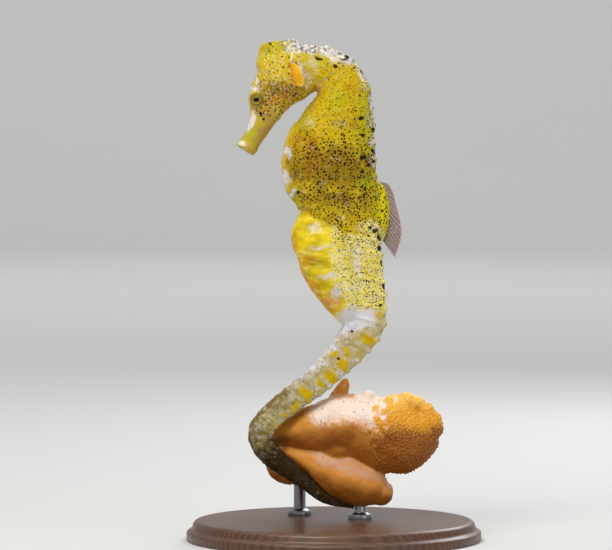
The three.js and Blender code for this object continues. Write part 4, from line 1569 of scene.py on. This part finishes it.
@dataclass(frozen=True)
class FinFinish:
    """A clear membrane with paler rays; kinds of fin differ in their colours and how clear they are."""

    name: str
    root: Colour
    film: Colour
    ray: Colour
    rim: Colour
    clear: float

    def make(self) -> Material:
        """The fin's material.

        Returns:
            The finished material.
        """
        g = Graph(self.name)
        out, on_ray = g.value("out"), g.value("on_ray")
        cloud = g.noise(g.place(), 1.4, 3)
        line, rim = on_ray.step(0.24, 0.08), out.step(0.9, 0.985)
        colour = g.mix(self.root, self.film, (out * 1.5 + cloud * 0.5 - 0.25).clip())
        colour = g.mix(colour, self.ray, line * (0.8 - out * 0.4))
        colour = g.mix(colour, self.rim, rim)
        clear = self.clear * out.step(0.02, 0.3) * (1 - line * 0.55) * (1 - rim * 0.6)
        return g.surface(
            Base_Color=colour,
            Roughness=0.4 + cloud * 0.15,
            Alpha=(1 - clear * (0.8 + cloud * 0.4)).clip(),
            Normal=g.bump(cloud, 0.03),
            Specular_IOR_Level=0.2,
            Subsurface_Weight=0.1,
            Subsurface_Radius=(1.0, 0.7, 0.3),
            Subsurface_Scale=0.0005,
        )


@dataclass(frozen=True)
class Fin:
    """A ray fin between a line of feet and an outer edge; the right side's mirrors the left's."""

    name: str
    node: str
    finish: FinFinish
    feet: tuple[Place, ...]
    edge: tuple[Place, ...]
    rays: int
    wave: float
    edge_shares: tuple[float, ...] = (0.0, 1.0)  # shares of the edge that evenly spaced feet reach
    per_ray: int = 8
    across: int = 26
    film: float = 0.1
    ray: float = 0.3
    scallop: float = 0.12 / 9  # share of its length that the edge dips between rays
    side: Side = Side.LEFT

    def build(self) -> Piece:
        """The membrane with a raised line for each ray and a scalloped edge.

        Returns:
            The fin.
        """
        f = np.linspace(0, 1, self.rays * self.per_ray + 1)
        foot = catmull_rom(np.array(self.feet), f)
        share = np.interp(f, np.linspace(0, 1, len(self.edge_shares)), self.edge_shares)
        tip = catmull_rom(np.array(self.edge), share)
        phase = f * self.rays
        on_ray = np.abs(phase - np.round(phase))[None, :]
        out = np.linspace(0, 1, self.across)[:, None]
        reach = 1 - self.scallop * (1 - np.cos(2 * np.pi * on_ray))[..., None] * out[..., None]
        sheet = foot + (tip - foot) * out[..., None] * reach
        sheet[..., 1] += self.wave * np.sin(3 * np.pi * f)[None, :] * out
        sheet[..., 1] += 0.06 * np.cos(2 * np.pi * phase)[None, :] * out
        thick = self.film * (1.3 - 0.5 * out) + self.ray * bell(on_ray, 0.16) * (1 - 0.75 * out)
        piece = make_mesh(self.name, *shell(sheet * np.array([1, self.side.value, 1]), thick))
        for name, values in (("out", out), ("on_ray", on_ray)):
            set_values(piece, name, np.tile(np.broadcast_to(values, thick.shape).ravel(), 2))
        return piece

    def dress(self, piece: Piece) -> None:
        """Gives the fin its finish."""
        piece.data.materials.append(self.finish.make())


def fins() -> list[Fin]:
    """Every fin.

    Returns:
        The fins.
    """
    tones = ((160, 136, 24), (158, 122, 120), (104, 78, 76), (206, 180, 170))
    made = [Fin(
        "dorsal_fin_film", "dorsal_fin", FinFinish("dorsal_fin", *(srgb(*tone) for tone in tones), 0.55),
        ((9.4, 0, 90.3), (11, 0, 89.2), (12.1, 0, 86.8), (12.8, 0, 84.4), (13.1, 0, 81.8), (13.1, 0, 79.4),
         (12.6, 0, 77.0), (12, 0, 75.4)),
        ((10.6, 0, 90.5), (13.4, 0, 89.5), (14.9, 0, 87.1), (15.6, 0, 84.2), (16.3, 0, 81.6), (17.0, 0, 78.0),
         (16.8, 0, 75.4), (16.1, 0, 73.0), (15.4, 0, 70.8)),
        rays=17, wave=0.5, edge_shares=(0.13, 0.3, 0.5, 0.72, 0.88, 1.0),
    )]
    tones = ((222, 150, 2), (240, 178, 2), (212, 130, 2), (240, 226, 150))
    cheek = FinFinish("pectoral_fin", *(srgb(*tone) for tone in tones), 0.04)
    for side in Side:
        made.append(Fin(
            f"pectoral_fan_{side.word}", f"pectoral_fin_{side.word}", cheek,
            ((-11.2, -4.7, 118.4), (-11.0, -4.9, 117.0), (-10.8, -5.1, 115.6), (-10.7, -5.0, 114.3)),
            ((-10.4, -4.9, 119.5), (-8.9, -5.4, 118.7), (-8.0, -5.8, 117.0), (-7.4, -5.9, 114.9),
             (-8.0, -5.6, 113.5)),
            rays=14, wave=0.25, per_ray=6, across=18, ray=0.22, side=side,
        ))
    tones = ((190, 160, 10), (200, 176, 40), (160, 130, 20), (226, 214, 150))
    made.append(Fin(
        "anal_fan", "anal_fin", FinFinish("anal_fin", *(srgb(*tone) for tone in tones), 0.3),
        ((-7.2, 0, 85.2), (-7.5, 0, 84.4), (-7.7, 0, 83.6), (-7.8, 0, 82.9)),
        ((-8.9, 0, 84.9), (-9.2, 0, 84.3), (-9.3, 0, 83.5), (-9.0, 0, 82.7)),
        rays=4, wave=0.0, across=14,
    ))
    return made


# ---- The perch ----


def search_tree(places: Array) -> KDTree:
    """A tree that finds the nearest of some places.

    Args:
        places: (n, 3) values.

    Returns:
        The tree.
    """
    tree = KDTree(len(places))
    for i, place in enumerate(places):
        tree.insert(place, i)
    tree.balance()
    return tree


@dataclass(frozen=True)
class Limb:
    """A rounded arm of coral: its sections as x, y, z, half height and half width."""

    sections: tuple[tuple[float, ...], ...]
    round_end: bool = True
    steps: int = 70
    sides: int = 48

    def points(self) -> tuple[Array, Faces]:
        """The arm's surface.

        Returns:
            Its points and faces.
        """
        x, y, z, high, wide = catmull_rom(np.array(self.sections), np.linspace(0, 1, self.steps)).T
        middle = np.stack([x, y, z], axis=1)
        run = np.gradient(middle, axis=0)
        run /= norm(run, axis=1, keepdims=True)
        across = np.cross(run, (0, 0, 1))
        across /= norm(across, axis=1, keepdims=True)
        up = np.cross(across, run)
        angle = np.linspace(0, 2 * np.pi, self.sides, endpoint=False)
        grid = middle[:, None] + np.cos(angle)[None, :, None] * (across * wide[:, None])[:, None]
        grid = grid + np.sin(angle)[None, :, None] * (up * high[:, None])[:, None]
        rings, tips = [grid], []
        for end, sign, rounded in ((0, -1, True), (-1, 1, self.round_end)):
            out = run[end] * sign * min(high[end], wide[end])
            if rounded:
                offset = grid[end] - middle[end]
                turns = np.linspace(0, np.pi / 2, 10)[1:-1]
                cap = [middle[end] + offset * math.cos(t) + out * math.sin(t) for t in turns]
                rings = [np.array(cap[::-1]), *rings] if sign < 0 else [*rings, np.array(cap)]
            tips.append(middle[end] + (out if rounded else 0))
        tube = np.concatenate(rings)
        return np.vstack([tube.reshape(-1, 3), tips]), tube_faces(len(tube), self.sides)


@dataclass
class PerchCoral:
    """A cut length of soft finger coral: two fingers that the tail grips and the stem they grow from."""

    plan: BodyPlan
    limbs: tuple[Limb, ...] = (  # the upper finger, the lower one, the stem and a twig
        Limb((
            (-17.2, 5.6, 24.8, 1.7, 1.5), (-13.2, 4.2, 25.8, 3.1, 2.8), (-8.4, 2.8, 27.2, 4.8, 4.5),
            (-1.2, 2.2, 28.6, 6.7, 5.8), (5.0, 1.6, 29.6, 6.8, 5.8), (9.0, 1.4, 27.8, 8.8, 6.0),
            (12.6, 1.2, 26.6, 9.8, 6.2), (17.6, 0.8, 26.6, 9.7, 6.2), (21.6, 0.4, 27.6, 7.4, 5.0),
            (24.0, 0.2, 29.0, 4.0, 3.0),
        )),
        Limb((
            (-11.4, 2.8, 21.6, 1.7, 2.2), (-6.6, 2.8, 19.6, 3.4, 3.6), (-1.2, 2.4, 17.0, 5.2, 4.8),
            (4.8, 1.8, 14.7, 5.9, 5.2), (9.4, 1.4, 12.8, 5.2, 4.6), (12.0, 1.2, 11.4, 3.4, 3.0),
        )),
        Limb((
            (1.0, 3.4, 23.4, 5.6, 5.2), (-3.8, 7.8, 21.8, 7.4, 6.8), (-9.0, 12.4, 20.2, 7.2, 6.6),
            (-13.6, 16.6, 19.0, 6.6, 6.2),
        ), False),
        Limb((
            (0.0, 4.4, 32.0, 3.0, 2.6), (1.2, 4.8, 35.4, 2.4, 2.2), (2.8, 5.2, 38.4, 1.5, 1.5),
            (3.2, 5.2, 39.6, 0.9, 0.9),
        )),
    )
    knobs: tuple[tuple[float, ...], ...] = (  # x, y, z, radius
        (8.4, 0.8, 35.6, 1.9), (18.2, 0.2, 34.8, 2.4), (14.0, -1.2, 35.0, 1.6), (20.6, 0.2, 33.9, 2.4),
        (22.8, 0.2, 32.3, 2.3), (7.6, 0.4, 19.2, 1.7), (12.6, 0.8, 18.6, 2.2),
    )
    voxel: float = 0.26
    tip: Place = (17.5, 0.2, 27.5)
    tip_half: Place = (10.5, 9.0, 12.5)
    cut_way: Place = (-0.7, 0.7, -0.15)  # the cut end looks this way
    polyp_spacing: float = 0.62
    polyp_width: float = 0.23
    seed: int = 7

    def build(self) -> Piece:
        """Joins the arms, smooths them into one and grows the polyps.

        Returns:
            The coral.
        """
        points, faces, start = [], [], 0
        for limb in self.limbs:
            p, f = limb.points()
            points.append(p)
            faces += [tuple(i + start for i in face) for face in f]
            start += len(p)
        piece = make_mesh("coral_perch", np.vstack(points), faces)
        for x, y, z, radius in self.knobs:
            place = Vector((x, y, z)) * MM
            bpy.ops.mesh.primitive_ico_sphere_add(subdivisions=3, radius=radius * MM, location=place)
            knob = bpy.context.active_object
            bpy.ops.object.select_all(action="DESELECT")
            knob.select_set(True)
            piece.select_set(True)
            bpy.context.view_layer.objects.active = piece
            bpy.ops.object.join()
        even_out(piece, self.voxel, 0.6, 22)
        pressed = self._make_room(read_points(piece) / MM)
        piece.data.vertices.foreach_set("co", (pressed * MM).ravel())
        even_out(piece, self.voxel, 0.5, 5)
        self._grow(piece)
        return piece

    def _grow(self, piece: Piece) -> None:
        """Grows the polyps and folds, and keeps the coral off the tail.

        Args:
            piece: the plain coral.
        """
        p, n = read_points(piece) / MM, read_points(piece, "normal")
        reach = norm((p - np.array(self.tip)) / np.array(self.tip_half), axis=1)
        lean = p[:, 0] + 0.35 * (30 - p[:, 2]) + 2.4 * smooth_noise(p, 2.6, 34, 2)
        tip = ramp(reach + 0.1 * smooth_noise(p, 4, 31), 1.12, 0.9) * ramp(lean, 8, 14)
        polyp = self._polyps(p, tip)
        cut = ramp(n @ np.array(self.cut_way), 0.97, 0.99) * (p[:, 1] > 14)
        height = 0.22 * smooth_noise(p, 8, 32, 2) + 0.03 * smooth_noise(p, 2.2, 33, 2) + 0.3 * polyp
        p = self._make_room(p + n * (height * (1 - cut))[:, None])
        piece.data.vertices.foreach_set("co", (p * MM).ravel())
        piece.data.update()
        # How far each point faces down, which the finish paints brown as shade on the undersides.
        under = ramp(n[:, 2], 0.45, -0.35)
        for name, values in (("tip", tip), ("polyp", polyp), ("cut", cut), ("under", under)):
            set_values(piece, name, values)
        piece.data.shade_smooth()

    def _polyps(self, p: Array, tip: Array) -> Array:
        """How far the polyps rise, crowded towards the finger's tip and rare elsewhere.

        Args:
            p: (n, 3) points in mm.
            tip: how near each is to the finger's tip, 0 to 1.

        Returns:
            Shares of a polyp's height.
        """
        rng = np.random.default_rng(self.seed)
        wanted = rng.random(len(p)) < np.where(tip > 0.4, 0.25, 0.012)
        seeds = p[wanted][rng.permutation(wanted.sum())]
        tree = search_tree(seeds)
        kept = np.ones(len(seeds), bool)
        for i, seed in enumerate(seeds):
            if kept[i]:
                for _, j, _ in tree.find_range(seed, self.polyp_spacing):
                    if j > i:
                        kept[j] = False
        tree = search_tree(seeds[kept])
        near = np.array([tree.find(point)[2] for point in p])
        return bell(near, self.polyp_width) * np.where(tip > 0.3, 1.0, 0.3)

    def _make_room(self, p: Array) -> Array:
        """Presses the coral in where the tail grips it, so that the two touch and don't cross.

        Args:
            p: (n, 3) points in mm.

        Returns:
            The same array with its points moved.
        """
        spine = self.plan.spine
        frames = spine.at(np.arange(self.plan.trunk_end + 30, spine.length, 0.4))
        tree = search_tree(frames.middle)
        for i, point in enumerate(p):
            middle, j, gap = tree.find(point)
            room = frames.half_width[j] * 1.02 + 0.1
            if gap < room:
                p[i] = np.array(middle) + (point - np.array(middle)) / max(gap, 1e-6) * room
        return p

    def dress(self, piece: Piece) -> None:
        """Gives the coral its finish."""
        piece.data.materials.append(CoralFinish().make())


@dataclass(frozen=True)
class CoralFinish:
    """Fleshy coral dusted with pale lilac above and orange-brown below, with golden polyps and violet specks;
    the pale tops are partly painted light, and the brown undersides, the mauve on the lower finger and the
    brown low on the tip are painted shade and shadow.
    """

    # pale tone of the dusted tops, partly the coral's own dusting and partly painted light from above
    top: Colour = srgb(252, 234, 222)
    # painted shadow of the upper finger on the top of the lower finger
    lobe_shadow_mauve: Colour = srgb(186, 142, 132)
    side: Colour = srgb(220, 146, 52)
    # painted shade: brown of the undersides and of the lower part of the tip
    below: Colour = srgb(150, 82, 8)
    gold: Colour = srgb(224, 148, 4)
    # pale gold of the polyps, and painted light on the top of the tip
    light: Colour = srgb(250, 206, 96)
    violet: Colour = srgb(140, 92, 110)
    cut: Colour = srgb(206, 176, 140)

    def make(self) -> Material:
        """The coral's material.

        Returns:
            The finished material.
        """
        g = Graph("coral")
        place = g.place()
        tip, polyp, under = g.value("tip"), g.value("polyp"), g.value("under")
        cloud = g.noise(place, 7.0, 4, 0.6)
        fine = g.noise(place, 1.1, 4, 0.6)
        grain = g.noise(place, 0.5, 2, 0.6)
        x, z = g.axis(place, "X"), g.axis(place, "Z")
        side = x.step(6.5, 4.5) * z.step(34.5, 37.0)
        # Pale dust on the tops and none on the undersides: partly the coral's dusting and partly painted
        # light from above; less of it on the lower finger, as painted shadow of the upper one.
        dust_and_top_light = 1.5 * x.step(-9.0, -3.0) - z.step(24.0, 20.5) * 0.6 - side * 1.3 - under * 1.7
        dust_and_top_light = (dust_and_top_light - cloud * 0.7 + (fine - 0.5) * 1.3 + (grain - 0.5) * 2.2).clip()
        # Painted shadow of the upper finger: mauve on the lower finger.
        lobe_shadow_mauve = (z.step(23.5, 18.5) + cloud * 0.8 - 0.4).clip()
        colour = g.mix(self.side, g.mix(self.top, self.lobe_shadow_mauve, lobe_shadow_mauve * 0.85), dust_and_top_light * 0.92)
        # Painted shade: brown on the undersides.
        colour = g.mix(colour, self.below, (under * 1.5 + cloud * 0.8 - 1.05 + (grain - 0.5) * 0.6).clip())
        # Painted light: the tip turns paler gold towards its top.
        gold = g.mix(self.gold, self.light, (z.step(31.0, 36.5) * 0.9 + (grain - 0.5) * 1.6).clip() * 0.8)
        colour = g.mix(colour, gold, (tip * 1.3 + fine * 0.5 + (grain - 0.5) * 1.2 - 0.35).clip())
        # Painted shade: the tip browner low down, and its polyps dimmer there.
        low = z.step(31.5, 23.5)
        colour = g.mix(colour, self.below, (tip * (under * 0.8 + low * 1.3 + cloud * 0.9 - 0.7)).clip())
        colour = g.mix(colour, self.light, (polyp * 1.4 + fine * 0.3 - 0.45).clip() * (1 - low * 0.75))
        colour = g.mix(colour, self.violet, g.dots(place, 2.4, 0.3 * (1 - tip), 0.12) * 0.75)
        return g.surface(
            Base_Color=g.mix(colour, self.cut, g.value("cut") * 0.8),
            Roughness=0.45 + fine * 0.2,
            Normal=g.bump(fine * 0.4 + grain * 0.6, 0.12),
            Specular_IOR_Level=0.35,
            Subsurface_Weight=0.15,
            Subsurface_Radius=(1.0, 0.5, 0.25),
            Subsurface_Scale=0.0015,
        )


# ---- The stand ----


@dataclass(frozen=True)
class Rod:
    """A rod of the stand: its name, its place on the base and the height of its top."""

    name: str
    x: float
    y: float
    top: float


@dataclass
class Stand:
    """A turned wooden base and two steel rods with collars."""

    radius: float = 37.0
    foot: float = 2.2
    steps: tuple[Pair, ...] = ((0.7, 35.7), (1.5, 35.3), (0.6, 34.5))  # rise and radius of each turned step
    insets: Place = (1.2, 8.0, 10.0)
    rods: tuple[Rod, ...] = (Rod("stem", -8.6, 12.2, 18.5), Rod("lobe", 6.6, 2.2, 13.5))
    rod: float = 1.5
    collar: float = 3.0
    collar_height: float = 1.6
    collar_steps: tuple[Pair, ...] = ((0.0, 2.5), (0.5, 1.9))
    sunk: float = 0.4

    @staticmethod
    def _start(name: str, sides: int, radius: float, height: float, foot: Place) -> Piece:
        """A disc with only its top selected, left in edit mode.

        Args:
            name: the object's name.
            sides: how many faces it has round its edge.
            radius: its radius in mm.
            height: its height in mm.
            foot: the middle of its underside in mm.

        Returns:
            The disc.
        """
        place = (foot[0] * MM, foot[1] * MM, (foot[2] + height / 2) * MM)
        size = {"radius": radius * MM, "depth": height * MM}
        bpy.ops.object.select_all(action="DESELECT")
        bpy.ops.mesh.primitive_cylinder_add(vertices=sides, location=place, **size)
        piece = take_new(name)
        bpy.ops.object.mode_set(mode="EDIT")
        select_top(piece)
        return piece

    @staticmethod
    def _raise_steps(start: float, steps: tuple[Pair, ...], centre: Place = (0, 0, 0)) -> None:
        """Extrudes the selected top in steps.

        Args:
            start: its radius in mm.
            steps: rise and radius of each step in mm.
            centre: a point on the axis in metres.
        """
        wide = start
        for rise, radius in steps:
            bpy.ops.mesh.extrude_region_move(TRANSFORM_OT_translate={"value": (0, 0, rise * MM)})
            bpy.ops.transform.resize(value=(radius / wide, radius / wide, 1), center_override=centre)
            wide = radius

    def build_base(self) -> Piece:
        """The base: a disc whose edge is turned in steps.

        Returns:
            The base.
        """
        base = self._start("display_base", 160, self.radius, self.foot, (0, 0, 0))
        self._raise_steps(self.radius, self.steps)
        for inset in self.insets:
            bpy.ops.mesh.inset(thickness=inset * MM)
        bpy.ops.object.mode_set(mode="OBJECT")
        round_edges(base, 0.35, 3, 25)
        return base

    def build_rod(self, rod: Rod) -> Piece:
        """A rod from the base up into the coral, with a turned collar at its foot.

        Args:
            rod: which one.

        Returns:
            The rod.
        """
        low = self.foot + sum(rise for rise, _ in self.steps) - self.sunk
        name, foot = f"display_rod_{rod.name}", (rod.x, rod.y, low)
        piece = self._start(name, 48, self.collar, self.collar_height, foot)
        shaft = rod.top - low - self.collar_height - sum(rise for rise, _ in self.collar_steps)
        steps = (*self.collar_steps, (0.0, self.rod), (shaft, self.rod))
        self._raise_steps(self.collar, steps, (rod.x * MM, rod.y * MM, 0))
        bpy.ops.object.mode_set(mode="OBJECT")
        round_edges(piece, 0.15, 2, 30)
        return piece


@dataclass(frozen=True)
class WoodFinish:
    """Dark oiled walnut with straight grain and fine pores."""

    light: Colour = srgb(112, 72, 44)
    dark: Colour = srgb(58, 34, 20)

    def make(self) -> Material:
        """The wood's material.

        Returns:
            The finished material.
        """
        g = Graph("wood")
        place = g.mapped(g.place(), (1.0, 9.0, 9.0))
        broad = g.noise(place, 60.0, 4, 0.6)
        wave = {"Vector": place, "Scale": 28.0, "Distortion": 6.0, "Detail": 3.0}
        bands = g.node("TexWave", {"bands_direction": "Y"}, "Fac", **wave)
        pores = g.noise(g.mapped(g.place(), (1.0, 22.0, 22.0)), 9.0, 3, 0.7)
        colour = g.mix(self.dark, self.light, (broad * 0.8 + bands * 0.5 - 0.15).clip())
        return g.surface(
            Base_Color=g.mix(colour, self.dark, pores.step(0.56, 0.7) * 0.7),
            Roughness=0.34 + pores * 0.2,
            Normal=g.bump(pores, 0.05),
            Coat_Weight=0.25,
            Coat_Roughness=0.2,
        )


@dataclass(frozen=True)
class SteelFinish:
    """Satin steel with fine turning marks."""

    tone: Colour = srgb(176, 176, 180)
    mark: Colour = srgb(140, 140, 146)

    def make(self) -> Material:
        """The steel's material.

        Returns:
            The finished material.
        """
        g = Graph("steel")
        marks = g.noise(g.mapped(g.place(), (1.0, 1.0, 14.0)), 3.0, 3)
        return g.surface(
            Base_Color=g.mix(self.tone, self.mark, marks),
            Metallic=1.0,
            Roughness=0.24 + marks * 0.16,
            Normal=g.bump(marks, 0.01),
        )


# ---- Studio ----


@dataclass(frozen=True)
class FloorFinish:
    """A matt pale floor with the faintest mottle."""

    tone: Colour = srgb(216, 215, 212)
    mottle: Colour = srgb(210, 208, 205)

    def make(self) -> Material:
        """The floor's material.

        Returns:
            The finished material.
        """
        g = Graph("floor")
        cloud = g.noise(g.place(), 400.0, 2)
        return g.surface(Base_Color=g.mix(self.tone, self.mottle, cloud), Roughness=0.85 + cloud * 0.05)


@dataclass(frozen=True)
class Lamp:
    """A square light: its name, place, size, power in watts, tint and the point that it looks at."""

    name: str
    place: Place
    size: float
    power: float
    tint: Colour = (1.0, 1.0, 1.0)
    aim: Place = (0, 0, 75)


@dataclass
class Studio:
    """The camera, the lights and the floor that sweeps up into a low wall all round."""

    frame_low: float = -2.4
    frame_high: float = 135.4
    frame_middle: float = -7.0
    distance: float = 900.0
    lift: float = 2.0  # degrees that the camera looks down
    image: tuple[int, int] = (612, 550)
    sensor: float = 36.0
    lamps: tuple[Lamp, ...] = (
        Lamp("key", (-180, -330, 520), 260, 2.1, (1.0, 0.97, 0.92)),
        Lamp("fill", (420, -420, 120), 420, 0.4, (0.9, 0.95, 1.0)),
        Lamp("rim", (240, 400, 360), 260, 1.2, (0.95, 0.97, 1.0)),
        Lamp("ceiling", (0, 0, 2400), 3600, 26.0),
        Lamp("backdrop", (0, 1400, 1700), 1000, 14.0, aim=(0, 3200, 300)),
    )
    sky: tuple[float, ...] = (0.86, 0.9, 0.95, 1)
    sky_power: float = 0.42
    floor_radius: float = 2.6  # metres, as are the floor's next two sizes
    bend: float = 0.7
    wall: float = 1.1
    bend_steps: int = 10

    def build(self) -> None:
        """Sets up the camera, lights and floor."""
        bpy.context.scene.view_settings.view_transform = "Standard"
        self._camera()
        self._lights()
        self._floor()

    def _camera(self) -> None:
        """A long lens nearly level with the animal's middle."""
        height = self.frame_high - self.frame_low
        middle = Vector((self.frame_middle, 0, (self.frame_high + self.frame_low) / 2)) * MM
        turn = math.radians(self.lift)
        data = bpy.data.cameras.new("camera")
        data.sensor_width = self.sensor
        data.lens = self.sensor * self.distance / (height * self.image[0] / self.image[1])
        data.clip_start = 0.01
        camera = bpy.data.objects.new("camera", data)
        camera.location = middle + Vector((0, -math.cos(turn), math.sin(turn))) * self.distance * MM
        camera.rotation_euler = (math.radians(90) - turn, 0, 0)
        bpy.context.scene.collection.objects.link(camera)
        bpy.context.scene.camera = camera

    def _lights(self) -> None:
        """A soft key from above on the left, a fill, a rim light, two for the surroundings and a dim sky."""
        for lamp in self.lamps:
            data = bpy.data.lights.new(lamp.name, "AREA")
            data.size = lamp.size * MM
            data.energy = lamp.power
            data.color = lamp.tint
            light = bpy.data.objects.new(lamp.name, data)
            light.location = Vector(lamp.place) * MM
            toward = Vector(lamp.aim) * MM - light.location
            light.rotation_euler = toward.to_track_quat("-Z", "Y").to_euler()
            bpy.context.scene.collection.objects.link(light)
        world = bpy.data.worlds.new("studio")
        world.use_nodes = True
        background = world.node_tree.nodes["Background"]
        background.inputs["Color"].default_value = self.sky
        background.inputs["Strength"].default_value = self.sky_power
        bpy.context.scene.world = world

    def _floor(self) -> None:
        """A pale round floor whose rim curves up, so that no horizon shows."""
        bpy.ops.object.select_all(action="DESELECT")
        bpy.ops.mesh.primitive_circle_add(vertices=128, radius=self.floor_radius, fill_type="NGON")
        floor = take_new("floor")
        bpy.ops.object.mode_set(mode="EDIT")
        bpy.ops.mesh.select_all(action="DESELECT")
        work = bmesh.from_edit_mesh(floor.data)
        for edge in work.edges:
            edge.select = edge.is_boundary
        bmesh.update_edit_mesh(floor.data)
        radius = self.floor_radius
        angles = [math.pi / 2 * step / self.bend_steps for step in range(self.bend_steps + 1)]
        for low, high in zip(angles, angles[1:]):
            rise = self.bend * (math.cos(low) - math.cos(high))
            wider = radius + self.bend * (math.sin(high) - math.sin(low))
            bpy.ops.mesh.extrude_edges_move(TRANSFORM_OT_translate={"value": (0, 0, rise)})
            bpy.ops.transform.resize(value=(wider / radius, wider / radius, 1), center_override=(0, 0, 0))
            radius = wider
        bpy.ops.mesh.extrude_edges_move(TRANSFORM_OT_translate={"value": (0, 0, self.wall - self.bend)})
        bpy.ops.object.mode_set(mode="OBJECT")
        floor.data.shade_smooth()
        floor.data.materials.append(FloorFinish().make())


def main() -> None:
    """Builds and dresses every piece in order."""
    logging.basicConfig(level=logging.INFO, format="%(message)s")
    Studio().build()
    plan = BodyPlan()
    eyes = [Eye(side) for side in Side]
    skin = Skin(plan, eyes[0])
    piece = skin.build()
    skin.dress(piece)
    tail = (f"tail_{i}" for i in range(1, 7))
    mount(piece, Slot.SKIN, "snout", "head", "coronet", "neck", "trunk", "fin_hump", "brood_pouch", *tail)
    for eye in eyes:
        ball = eye.build()
        eye.dress(ball)
        mount(ball, Slot.EYE, f"eye_{eye.side.word}")
    for fin in fins():
        film = fin.build()
        fin.dress(film)
        mount(film, Slot.FIN, fin.node)
    perch = PerchCoral(plan)
    coral = perch.build()
    perch.dress(coral)
    mount(coral, Slot.CORAL, "perch_coral")
    stand = Stand()
    base = stand.build_base()
    base.data.materials.append(WoodFinish().make())
    mount(base, Slot.WOOD, "stand_base")
    steel = SteelFinish().make()
    for rod in stand.rods:
        piece = stand.build_rod(rod)
        piece.data.materials.append(steel)
        mount(piece, Slot.STEEL, f"stand_rod_{rod.name}")


if __name__ == "__main__":
    main()
